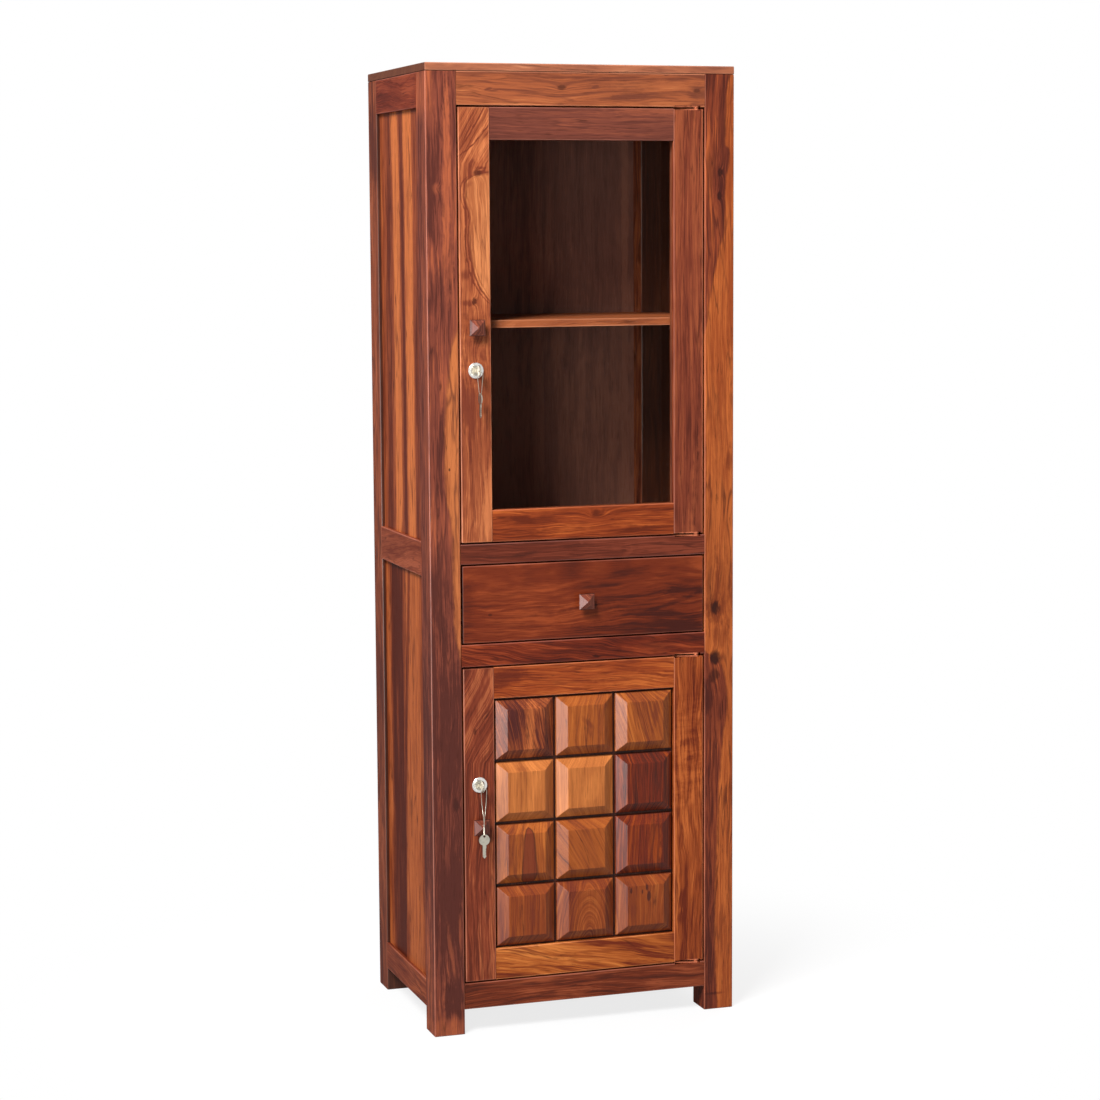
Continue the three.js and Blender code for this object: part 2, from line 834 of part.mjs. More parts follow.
// Door frames: stiles run full height, rails are tenoned between them, and both are rebated
// at the back for the pane or the block panel

function doorLayout(low, high) {
  return {
    low,
    high,
    paneLow: low + doorFrameWidth,
    paneHigh: high - doorFrameWidth,
  };
}

const upperLayout = doorLayout(upperLevel + doorGap, upperOpeningTop - doorGap);
const lowerLayout = doorLayout(bottomLevel + doorGap, lowerOpeningTop - doorGap);

function rebateBox(layout) {
  return span(-paneHalf - rebateWidth, paneHalf + rebateWidth,
    doorLip, doorThickness + cutOverrun,
    layout.paneLow - rebateWidth, layout.paneHigh + rebateWidth);
}

function doorRails(layout) {
  const rebateShoulder = rebateWidth + fitGap + cutOverrun;
  const make = (z0, z1, shoulders) => {
    const box = span(-paneHalf + fitGap, paneHalf - fitGap, 0, doorThickness, z0, z1);
    const tenons = [-1, 1].map((side) =>
      railTenon(box, 'x', 'y', side, doorTenonThickness, shoulders));
    return { box, tenons };
  };
  return {
    top_rail: make(layout.paneHigh, layout.high, { bottom: rebateShoulder, top: tenonShoulder }),
    bottom_rail: make(layout.low, layout.paneLow, { bottom: tenonShoulder, top: rebateShoulder }),
  };
}

function addDoorFrame(group, doorName, layout, extraCuts, colours) {
  const rails = doorRails(layout);
  const rebate = boxSolid(rebateBox(layout));
  const mortises = Object.values(rails).flatMap((rail) => rail.tenons)
    .map((tenon) => boxSolid(grown(tenon, fitGap)));
  const leafPockets = hinges
    .filter((hinge) => hinge.door === doorName)
    .map((hinge) => boxSolid(doorLeafPocket(hinge)));
  const stiles = {
    lock_stile: { x0: -doorHalf, x1: -paneHalf, cuts: extraCuts },
    hinge_stile: { x0: paneHalf, x1: doorHalf, cuts: leafPockets },
  };
  for (const [name, stile] of Object.entries(stiles)) {
    const box = span(stile.x0, stile.x1, 0, doorThickness, layout.low, layout.high);
    const solid = cut(easedBoard(box, 'z', boardArris), [rebate, ...mortises, ...stile.cuts]);
    addPiece(group, `${doorName}_door_${name}`, solid, wood(colours[name]), middleOf(box));
  }
  for (const [name, rail] of Object.entries(rails)) {
    const blank = joined(easedBoard(rail.box, 'x', boardArris, true), rail.tenons.map(boxSolid));
    const solid = blank.subtract(rebate);
    addPiece(group, `${doorName}_door_${name}`, solid, wood(colours[name]), middleOf(rail.box));
  }
}

function lockHole(height) {
  return roundBar(lockX, height, lockBarrelRadius + fitGap,
    -cutOverrun, doorThickness + cutOverrun);
}

addDoorFrame(upperDoor, 'upper', upperLayout,
  [lockHole(upperLockHeight), knobHole(lockX, upperKnobHeight)],
  { lock_stile: 0xa5582e, hinge_stile: 0x7d3b28, top_rail: 0x7b3a29, bottom_rail: 0x8e4726 });
addDoorFrame(lowerDoor, 'lower', lowerLayout,
  [lockHole(lowerLockHeight), knobHole(lockX, lowerKnobHeight)],
  { lock_stile: 0x813b24, hinge_stile: 0x9c5427, top_rail: 0x8c4526, bottom_rail: 0xa65c2b });

addPiece(upperDoor, 'upper_door_knob', knobSolid(lockX, upperKnobHeight), wood(0x7b3a26),
  new THREE.Vector3(lockX, 0, upperKnobHeight));
addPiece(lowerDoor, 'lower_door_knob', knobSolid(lockX, lowerKnobHeight), wood(0x7b3a26),
  new THREE.Vector3(lockX, 0, lowerKnobHeight));

// Glass and the bead behind it

const paneFront = doorLip + fitGap;
const paneBack = paneFront + glassThickness;

function addGlazing(layout) {
  const reach = rebateWidth - fitGap;
  const pane = span(-paneHalf - reach, paneHalf + reach, paneFront, paneBack,
    layout.paneLow - reach, layout.paneHigh + reach);
  addPiece(upperDoor, 'door_glass', boxSolid(pane), glass(), middleOf(pane));

  const outer = new THREE.Shape([
    new THREE.Vector2(pane.low.z, pane.low.x),
    new THREE.Vector2(pane.high.z, pane.low.x),
    new THREE.Vector2(pane.high.z, pane.high.x),
    new THREE.Vector2(pane.low.z, pane.high.x),
  ]);
  outer.holes.push(new THREE.Path([
    new THREE.Vector2(layout.paneLow, -paneHalf),
    new THREE.Vector2(layout.paneLow, paneHalf),
    new THREE.Vector2(layout.paneHigh, paneHalf),
    new THREE.Vector2(layout.paneHigh, -paneHalf),
  ]));
  const beadFront = paneBack + fitGap;
  const beadDepth = doorThickness - beadFront;
  const bead = extruded(outer, 'y', beadFront + beadArris, beadDepth - 2 * beadArris, {
    bevelEnabled: true,
    bevelThickness: beadArris,
    bevelSize: beadArris,
    bevelOffset: -beadArris,
    bevelSegments: 1,
  });
  addPiece(upperDoor, 'glazing_bead', solidOf(bead), wood(0x8a4a2a), middleOf(pane));
}

addGlazing(upperLayout);

// Block panel: rows of truncated pyramids on one backing, standing proud of the frame

// A closed stack of rectangles, each at its own depth and with its own half sizes.
function rectangleStack(sections) {
  const corners = [[-1, -1], [1, -1], [1, 1], [-1, 1]];
  const positions = [];
  const index = [];
  for (const { y, halfX, halfZ } of sections) {
    for (const [sx, sz] of corners) {
      positions.push(sx * halfX, y, sz * halfZ);
    }
  }
  for (let ring = 0; ring < sections.length - 1; ring += 1) {
    for (let side = 0; side < 4; side += 1) {
      const a = ring * 4 + side;
      const b = ring * 4 + (side + 1) % 4;
      index.push(a, a + 4, b, b, a + 4, b + 4);
    }
  }
  const last = (sections.length - 1) * 4;
  index.push(0, 1, 2, 0, 2, 3);
  index.push(last, last + 2, last + 1, last, last + 3, last + 2);
  const geometry = new THREE.BufferGeometry();
  geometry.setAttribute('position', new THREE.Float32BufferAttribute(positions, 3));
  geometry.setIndex(index);
  return geometry;
}

function blockGeometry(width, height) {
  const halfX = width / 2;
  const halfZ = height / 2;
  const soft = blockEdgeSoftening;
  const faceY = blockShoulderDepth - blockRise;
  const faceX = halfX - blockBevelX;
  const faceZ = halfZ - blockBevelZ;
  return rectangleStack([
    { y: faceY, halfX: faceX - soft, halfZ: faceZ - soft },
    { y: faceY + soft / 2, halfX: faceX + soft, halfZ: faceZ + soft },
    { y: blockShoulderDepth, halfX: halfX - soft, halfZ: halfZ - soft },
    { y: blockShoulderDepth + soft, halfX, halfZ },
    { y: doorLip + fitGap + cutOverrun, halfX, halfZ },
  ]);
}

function addBlockPanel(layout) {
  const reach = rebateWidth - fitGap;
  const backing = span(-paneHalf - reach, paneHalf + reach,
    paneFront, paneFront + blockBackingThickness,
    layout.paneLow - reach, layout.paneHigh + reach);
  const fieldWidth = 2 * (paneHalf - blockMargin);
  const fieldHeight = layout.paneHigh - layout.paneLow - 2 * blockMargin;
  const width = (fieldWidth - (blockColumns - 1) * blockGap) / blockColumns;
  const height = (fieldHeight - (blockRows - 1) * blockGap) / blockRows;
  const blocks = [];
  for (let row = 0; row < blockRows; row += 1) {
    for (let column = 0; column < blockColumns; column += 1) {
      const geometry = blockGeometry(width, height);
      const x = -paneHalf + blockMargin + width / 2 + column * (width + blockGap);
      const z = layout.paneLow + blockMargin + height / 2 + row * (height + blockGap);
      geometry.translate(x, 0, z);
      blocks.push(solidOf(geometry));
    }
  }
  const solid = joined(boxSolid(backing), blocks);
  addPiece(lowerDoor, 'block_panel', solid, wood(0x9a5427), middleOf(backing));
}

addBlockPanel(lowerLayout);

// Drawer, dovetailed at the front

const drawerFrontBox = span(-doorHalf, doorHalf, 0, drawerFrontThickness,
  drawerLevel + doorGap, drawerOpeningTop - doorGap);
const drawerSideLow = drawerLevel + fitGap;
const drawerSideTop = drawerSideLow + drawerSideHeight;
const drawerInner = doorHalf - drawerSideThickness;
const drawerBottomLow = drawerSideLow + drawerBottomRise;
const drawerBottomHigh = drawerBottomLow + drawerBottomThickness;

// Tails widen towards their tips, which is what holds the front on.
function tailCorners(grow) {
  const low = drawerFrontBox.low.z + tenonShoulder;
  const pitch = (drawerSideTop - tenonShoulder - low) / tailCount;
  const flare = pitch * tailFlareShare;
  const shoulder = drawerFrontThickness;
  const tip = drawerFrontThickness - tailLength;
  const tails = [];
  for (let i = 0; i < tailCount; i += 1) {
    const middle = low + (i + 0.5) * pitch;
    const half = pitch * tailWidthShare / 2;
    tails.push([
      [shoulder, middle - half - grow],
      [tip - grow, middle - half - flare - grow],
      [tip - grow, middle + half + flare + grow],
      [shoulder, middle + half + grow],
    ]);
  }
  return tails;
}

function drawerSideShape() {
  const outline = [[drawerLength, drawerSideLow], [drawerFrontThickness + fitGap, drawerSideLow]];
  for (const tail of tailCorners(0)) {
    const root = drawerFrontThickness + fitGap;
    outline.push([root, tail[0][1]], ...tail, [root, tail[3][1]]);
  }
  outline.push([drawerFrontThickness + fitGap, drawerSideTop], [drawerLength, drawerSideTop]);
  return new THREE.Shape(outline.reverse().map(([y, z]) => new THREE.Vector2(y, z)));
}

function tailSockets(x0, width) {
  return tailCorners(fitGap).map((corners) => {
    const overrun = corners.map(([y, z]) =>
      new THREE.Vector2(y === drawerFrontThickness ? y + cutOverrun : y, z));
    return solidOf(extruded(new THREE.Shape(overrun.reverse()), 'x', x0, width));
  });
}

const drawerBottomBox = span(
  -(drawerInner + drawerGrooveDepth - fitGap), drawerInner + drawerGrooveDepth - fitGap,
  drawerFrontThickness - drawerGrooveDepth + fitGap, drawerLength,
  drawerBottomLow, drawerBottomHigh);
const drawerBackBox = span(
  -(drawerInner + drawerGrooveDepth - fitGap), drawerInner + drawerGrooveDepth - fitGap,
  drawerLength - 2 * drawerSideThickness, drawerLength - drawerSideThickness,
  drawerBottomHigh + fitGap, drawerSideTop);

function addDrawer() {
  const sockets = [
    ...tailSockets(-doorHalf - cutOverrun, drawerSideThickness + cutOverrun + fitGap),
    ...tailSockets(drawerInner - fitGap, drawerSideThickness + cutOverrun + fitGap),
  ];
  const knobHeight = middleOf(drawerFrontBox).z - drawerKnobDrop;
  const bottomGroove = boxSolid(grown(drawerBottomBox, fitGap));
  const backGroove = boxSolid({
    low: grown(drawerBackBox, fitGap).low,
    high: grown(drawerBackBox, fitGap).high.setZ(drawerSideTop + cutOverrun),
  });
  const front = cut(easedBoard(drawerFrontBox, 'x', boardArris),
    [...sockets, bottomGroove, knobHole(0, knobHeight)]);
  addPiece(drawer, 'drawer_front', front, wood(0x76341f), middleOf(drawerFrontBox));

  for (const [name, x0] of [['drawer_left_side', -doorHalf], ['drawer_right_side', drawerInner]]) {
    const blank = solidOf(extruded(drawerSideShape(), 'x', x0, drawerSideThickness));
    const anchor = new THREE.Vector3(x0, drawerFrontThickness, drawerSideLow);
    addPiece(drawer, name, cut(blank, [bottomGroove, backGroove]), wood(0x9a6238), anchor);
  }
  addPiece(drawer, 'drawer_back', boxSolid(drawerBackBox), wood(0x9a6238),
    middleOf(drawerBackBox));
  addPiece(drawer, 'drawer_bottom', boxSolid(drawerBottomBox), wood(0xa8794a),
    middleOf(drawerBottomBox));
  addPiece(drawer, 'drawer_knob', knobSolid(0, knobHeight), wood(0x7b3a26),
    new THREE.Vector3(0, 0, knobHeight));
}

addDrawer();

// Cam locks: a flanged barrel with its nut, a plug with the cam and the key in it, and the
// spare key on a wire loop through the bow of the first

function lockBodySolid(height) {
  const profile = [
    [0, -lockFlangeDepth],
    [lockFlangeRadius - lockFlangeBevel, -lockFlangeDepth],
    [lockFlangeRadius, -lockFlangeDepth + lockFlangeBevel],
    [lockFlangeRadius, -fitGap],
    [lockBarrelRadius, -fitGap],
    [lockBarrelRadius, doorThickness + lockNutDepth + 2 * fitGap],
    [0, doorThickness + lockNutDepth + 2 * fitGap],
  ].map(([radius, y]) => new THREE.Vector2(radius, y));
  const turned = new THREE.LatheGeometry(profile, roundSides);
  turned.translate(lockX, 0, height);
  const nut = roundBar(lockX, height, lockNutRadius,
    doorThickness + fitGap, doorThickness + lockNutDepth + fitGap, lockNutSides);
  const bore = roundBar(lockX, height, plugRadius + fitGap,
    -lockFlangeDepth - cutOverrun, camFront + cutOverrun);
  const seat = roundBar(lockX, height, plugHeadRadius + fitGap,
    -lockFlangeDepth - cutOverrun, -lockFlangeDepth - plugProud + plugHeadDepth + fitGap);
  return cut(solidOf(turned).add(nut), [bore, seat]);
}

// Half of a key in its own plane: u runs along the key from the middle of the bow, v across.
function keyOutline(bladeLength, bladeWidth, notched) {
  const half = bladeWidth / 2;
  const lean = Math.asin(half / keyBowRadius);
  const end = keyBowRadius + bladeLength;
  const points = [[end - half, -half]];
  if (notched) {
    const pitch = (bladeLength - bladeWidth) / (keyNotchCount + 1);
    for (let i = keyNotchCount; i > 0; i -= 1) {
      const u = keyBowRadius + bladeWidth / 2 + i * pitch;
      points.push([u + pitch / 2, -half], [u, -half + keyNotchDepth], [u - pitch / 2, -half]);
    }
  }
  const shape = new THREE.Shape();
  shape.moveTo(end, 0);
  points.forEach(([u, v]) => shape.lineTo(u, v));
  shape.absarc(0, 0, keyBowRadius, -lean, -Math.PI / 2, true);
  shape.absarc(0, 0, keyBowRadius, -Math.PI / 2, Math.PI / 2, true);
  shape.absarc(0, 0, keyBowRadius, Math.PI / 2, lean, true);
  shape.lineTo(end - half, half);
  shape.closePath();
  const hole = new THREE.Path();
  hole.absarc(-(keyBowRadius - keyHoleInset), 0, keyHoleRadius, 0, 2 * Math.PI);
  shape.holes.push(hole);
  return shape;
}

function keyGeometry(bladeLength, bladeWidth, notched) {
  const geometry = new THREE.ExtrudeGeometry(keyOutline(bladeLength, bladeWidth, notched), {
    depth: keyThickness,
    bevelEnabled: false,
    curveSegments: 10,
  });
  geometry.translate(0, 0, -keyThickness / 2);
  return geometry;
}

function plugSolid(height) {
  const faceY = -lockFlangeDepth - plugProud;
  const head = roundBar(lockX, height, plugHeadRadius, faceY, faceY + plugHeadDepth);
  const shaft = roundBar(lockX, height, plugRadius, faceY + plugHeadDepth / 2,
    camFront + camThickness);
  const cam = new THREE.Shape();
  const tip = camReach - camHalfWidth;
  cam.absarc(height, lockX, camHalfWidth, -Math.PI / 2, Math.PI / 2);
  cam.absarc(height - tip, lockX, camHalfWidth, Math.PI / 2, 3 * Math.PI / 2);
  cam.closePath();
  const camPlate = solidOf(extruded(cam, 'y', camFront, camThickness));
  const screw = roundBar(lockX, height, camScrewRadius,
    camFront, camFront + camThickness + camScrewDepth, lockNutSides);

  // The key's plane is upright and square to the door, its blade end inside the plug.
  const bowY = faceY - keyBowOffset;
  const key = keyGeometry(keyBowOffset - keyBowRadius + plugHeadDepth, keyShankWidth, false);
  key.applyMatrix4(new THREE.Matrix4().makeBasis(unitY, unitZ, unitX));
  key.translate(lockX, bowY, height);
  return joined(shaft, [head, camPlate, screw, solidOf(key)]);
}

// The wire loop is the belt round a wide circle at the top and a narrow one at the bottom. Each
// place on it is turned about the upright axis by a share of the twist that grows downwards.
// Its top lies in the lower side of the key's hole, which is where its weight hangs.
function loopPlaces(length, twist) {
  const topZ = -wireDrop - loopTopRadius;
  const bottomZ = -wireDrop - length + loopBottomRadius;
  const lean = Math.asin((loopTopRadius - loopBottomRadius) / (topZ - bottomZ));
  const flat = [];
  const arc = (z, radius, from, to) => {
    for (let i = 0; i <= loopArcSteps; i += 1) {
      const angle = from + (to - from) * i / loopArcSteps;
      flat.push([radius * Math.cos(angle), z + radius * Math.sin(angle)]);
    }
  };
  const leg = (fromZ, fromRadius, toZ, toRadius, side) => {
    for (let i = 1; i < loopLegSteps; i += 1) {
      const share = i / loopLegSteps;
      const radius = fromRadius + (toRadius - fromRadius) * share;
      const z = fromZ + (toZ - fromZ) * share;
      const angle = -lean;
      flat.push([side * radius * Math.cos(angle), z + radius * Math.sin(angle)]);
    }
  };
  arc(topZ, loopTopRadius, -lean, Math.PI + lean);
  leg(topZ, loopTopRadius, bottomZ, loopBottomRadius, -1);
  arc(bottomZ, loopBottomRadius, Math.PI + lean, 2 * Math.PI - lean);
  leg(bottomZ, loopBottomRadius, topZ, loopTopRadius, 1);
  return flat.map(([across, z]) => {
    const share = THREE.MathUtils.smoothstep(-wireDrop - z, 2 * loopTopRadius, length);
    const turn = twist * share;
    return {
      point: new THREE.Vector3(across * Math.cos(turn), across * Math.sin(turn), z),
      square: new THREE.Vector3(-Math.sin(turn), Math.cos(turn), 0),
    };
  });
}

function closedTube(places, radius, sides) {
  const positions = [];
  const index = [];
  const count = places.length;
  for (let i = 0; i < count; i += 1) {
    const { point, square } = places[i];
    const after = places[(i + 1) % count].point;
    const before = places[(i + count - 1) % count].point;
    const along = after.clone().sub(before).normalize();
    const normal = new THREE.Vector3().crossVectors(along, square).normalize();
    const binormal = new THREE.Vector3().crossVectors(along, normal);
    for (let j = 0; j < sides; j += 1) {
      const angle = 2 * Math.PI * j / sides;
      const corner = point.clone()
        .addScaledVector(normal, radius * Math.cos(angle))
        .addScaledVector(binormal, radius * Math.sin(angle));
      positions.push(corner.x, corner.y, corner.z);
    }
  }
  for (let i = 0; i < count; i += 1) {
    for (let j = 0; j < sides; j += 1) {
      const a = i * sides + j;
      const b = i * sides + (j + 1) % sides;
      const c = ((i + 1) % count) * sides + j;
      const d = ((i + 1) % count) * sides + (j + 1) % sides;
      index.push(a, b, c, b, d, c);
    }
  }
  const geometry = new THREE.BufferGeometry();
  geometry.setAttribute('position', new THREE.Float32BufferAttribute(positions, 3));
  geometry.setIndex(index);
  return geometry;
}

// The spare key hangs from the bottom of its loop, its plane square to the wire there.
function spareKeySolid(height, loopLength, twist) {
  const holeZ = -wireDrop - loopLength - keyHoleRadius + wireRadius - wireBite;
  const key = keyGeometry(keyBladeLength, keyBladeWidth, true);
  const alongKey = unitZ.clone().negate();
  const flatOf = new THREE.Vector3(Math.cos(twist), Math.sin(twist), 0);
  const acrossKey = new THREE.Vector3().crossVectors(flatOf, alongKey);
  key.applyMatrix4(new THREE.Matrix4().makeBasis(alongKey, acrossKey, flatOf));
  key.translate(0, 0, holeZ - (keyBowRadius - keyHoleInset));
  const loop = closedTube(loopPlaces(loopLength, twist), wireRadius, loopSides);
  return solidOf(loop).add(solidOf(key)).translate([lockX, -keyHoleOut, height]);
}

function addLock(group, name, height, loopLength, twist) {
  const axis = new THREE.Vector3(lockX, 0, height);
  const holePlace = new THREE.Vector3(lockX, -keyHoleOut, height);
  addPiece(group, `${name}_lock_body`, lockBodySolid(height), metal(0xd5d2cc, 0.25), axis);
  addPiece(group, `${name}_lock_plug`, plugSolid(height), metal(0xbdb7a8, 0.3), axis);
  addPiece(group, `${name}_spare_key`, spareKeySolid(height, loopLength, twist),
    metal(0xbdb7a8, 0.3), holePlace);
}

addLock(upperDoor, 'upper', upperLockHeight, upperLoopLength, 0);
addLock(lowerDoor, 'lower', lowerLockHeight, lowerLoopLength, Math.PI / 2);

// The origin is on the floor under the middle of everything, keys included
armoire.position.y = frontProjection - (overallDepth + frontProjection) / 2;

export default armoire;
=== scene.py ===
import math

import bpy
import numpy as np
from mathutils import Matrix, Vector


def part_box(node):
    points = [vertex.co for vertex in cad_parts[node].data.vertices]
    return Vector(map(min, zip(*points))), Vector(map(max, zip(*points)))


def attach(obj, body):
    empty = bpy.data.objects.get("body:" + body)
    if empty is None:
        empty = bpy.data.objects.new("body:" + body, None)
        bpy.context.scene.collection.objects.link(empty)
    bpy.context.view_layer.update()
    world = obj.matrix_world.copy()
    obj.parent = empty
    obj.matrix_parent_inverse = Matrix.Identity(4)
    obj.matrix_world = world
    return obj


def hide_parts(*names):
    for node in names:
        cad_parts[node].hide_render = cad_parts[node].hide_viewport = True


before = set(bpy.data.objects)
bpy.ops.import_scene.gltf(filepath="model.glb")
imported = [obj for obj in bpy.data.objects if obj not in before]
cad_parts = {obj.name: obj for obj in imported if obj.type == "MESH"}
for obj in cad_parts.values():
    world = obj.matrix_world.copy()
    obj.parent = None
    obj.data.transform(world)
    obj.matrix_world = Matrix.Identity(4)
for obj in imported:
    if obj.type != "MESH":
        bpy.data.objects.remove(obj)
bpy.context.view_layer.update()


# Posts: four squared lengths of rosewood, 60 mm each way, which run from the floor to the top
# board and are the legs too. Dark heartwood with orange sapwood streaks, under a satin lacquer.


class Value:
    """One output of a shader node. A sum or product of such outputs adds its Math nodes."""

    def __init__(self, finish, socket):
        self.finish = finish
        self.socket = socket

    def maths(self, operation, first, second=0.0):
        node = self.finish.node("ShaderNodeMath", {"operation": operation}, {0: first, 1: second})
        return Value(self.finish, node.outputs[0])

    def __add__(self, other):
        return self.maths("ADD", self, other)

    def __sub__(self, other):
        return self.maths("SUBTRACT", self, other)

    def __rsub__(self, other):
        return self.maths("SUBTRACT", other, self)

    def __mul__(self, other):
        return self.maths("MULTIPLY", self, other)

    def __truediv__(self, other):
        return self.maths("DIVIDE", self, other)

    def __rtruediv__(self, other):
        return self.maths("DIVIDE", other, self)

    def __pow__(self, other):
        return self.maths("POWER", self, other)

    def __abs__(self):
        return self.maths("ABSOLUTE", self)

    def least(self, other):
        return self.maths("MINIMUM", self, other)

    def most(self, other):
        return self.maths("MAXIMUM", self, other)

    def rise(self, low, high):
        """0 below low and 1 above high, with a smooth step between them."""
        node = self.finish.node(
            "ShaderNodeMapRange",
            {"interpolation_type": "SMOOTHSTEP"},
            {"Value": self, "From Min": low, "From Max": high},
        )
        return Value(self.finish, node.outputs["Result"])


class Finish:
    """One material, made of a Principled shader and the nodes that feed it."""

    def __init__(self, name):
        self.material = bpy.data.materials.new(name)
        self.material.use_nodes = True
        self.tree = self.material.node_tree
        self.shader = self.tree.nodes["Principled BSDF"]

    def feed(self, slot, term):
        """Links a node's output to a slot, or sets the slot to a number or colour."""
        if isinstance(term, Value):
            term = term.socket
        if isinstance(term, bpy.types.NodeSocket):
            self.tree.links.new(term, slot)
        elif isinstance(term, tuple) and slot.type == "RGBA" and len(term) == 3:
            slot.default_value = (*term, 1)
        else:
            slot.default_value = term

    def node(self, kind, settings, inputs):
        """A new node with its settings made and its inputs fed."""
        made = self.tree.nodes.new(kind)
        for key, setting in settings.items():
            setattr(made, key, setting)
        for key, term in inputs.items():
            self.feed(made.inputs[key], term)
        return made

    def place(self):
        """The Object coordinates in millimetres, as three values."""
        where = self.node("ShaderNodeTexCoord", {}, {})
        split = self.node("ShaderNodeSeparateXYZ", {}, {"Vector": where.outputs["Object"]})
        return {axis: Value(self, split.outputs[axis.upper()]) * 1000 for axis in "xyz"}

    def noise(self, x, y, z, detail=2.0, roughness=0.5):
        """Smooth noise about 0, within -0.5 and 0.5, at a place given by three values."""
        point = self.node("ShaderNodeCombineXYZ", {}, {"X": x, "Y": y, "Z": z})
        made = self.node(
            "ShaderNodeTexNoise",
            {"noise_dimensions": "3D"},
            {"Vector": point.outputs[0], "Scale": 1.0, "Detail": detail, "Roughness": roughness},
        )
        return Value(self, made.outputs[0]) - 0.5

    def track(self, run, points):
        """A value that follows a smooth curve through points of run and value."""
        runs, values = zip(*points)
        if len(set(values)) == 1:
            return values[0]
        start, end, low, high = min(runs), max(runs), min(values), max(values)
        made = self.node("ShaderNodeFloatCurve", {}, {"Value": (run - start) / (end - start)})
        curve = made.mapping.curves[0]
        for _ in points[2:]:
            curve.points.new(0.5, 0.5)
        for knot, (at, value) in zip(curve.points, points):
            knot.location = ((at - start) / (end - start), (value - low) / (high - low))
        made.mapping.update()
        return Value(self, made.outputs[0]) * (high - low) + low

    def mix(self, share, first, second, blend="MIX"):
        """Colour first where share is 0 and second where it is 1, or their product there."""
        made = self.node("ShaderNodeMix", {"data_type": "RGBA", "blend_type": blend}, {})
        self.feed(made.inputs[0], share)
        self.feed(made.inputs[6], first)
        self.feed(made.inputs[7], second)
        return made.outputs[2]

    def relief(self, height, distance, strength):
        """Small unevenness of the surface, as high as distance in metres."""
        bump = self.node(
            "ShaderNodeBump", {}, {"Strength": strength, "Distance": distance, "Height": height}
        )
        self.feed(self.shader.inputs["Normal"], bump.outputs["Normal"])


def tone(red, green, blue):
    """A colour written as it is seen, from 0 to 255, as the linear colour a shader takes."""
    seen = np.array([red, green, blue]) / 255
    linear = np.where(seen <= 0.04045, seen / 12.92, ((seen + 0.055) / 1.055) ** 2.4)
    return tuple(float(part) for part in linear)


def edge_closeness(place, box, width):
    """1 on the edges of a box and 0 from width inwards. The middle one of the three distances
    to the nearest faces is how far a place on the surface lies from the nearest edge."""
    near = [
        (place[axis] - low * 1000).least(high * 1000 - place[axis])
        for axis, low, high in zip("xyz", *box)
    ]
    small, large = near[0].least(near[1]), near[0].most(near[1])
    return 1 - small.most(large.least(near[2])).rise(0, width)


coat_roughness = 0.36
wood_gloss = 0.006


def lacquer(finish, colour, roughness, shine):
    """A satin lacquer over a colour. Its gloss fades where it is seen at a slant."""
    facing = finish.node("ShaderNodeLayerWeight", {}, {"Blend": 0.5}).outputs["Facing"]
    upright = 1 - Value(finish, facing).rise(0.3, 0.65)
    finish.feed(finish.shader.inputs["Base Color"], colour)
    finish.feed(finish.shader.inputs["Roughness"], roughness)
    finish.feed(finish.shader.inputs["Coat Weight"], upright * shine)
    finish.shader.inputs["Coat Roughness"].default_value = coat_roughness
    finish.shader.inputs["Specular IOR Level"].default_value = wood_gloss


sapwood = ((160, 82, 42), (208, 122, 64))
tongue_heart = (106, 36, 18)
inside_stain_and_shade = (52, 28, 20)
shadow_share = 0.4
ragged_reach, ragged_rim = 9, 1.8
patch_lift = 0.55
skin, end_rim, stain_and_shade_rim = 0.6, 1.4, 1.2
edge_wear_and_sheen_width = 2.8


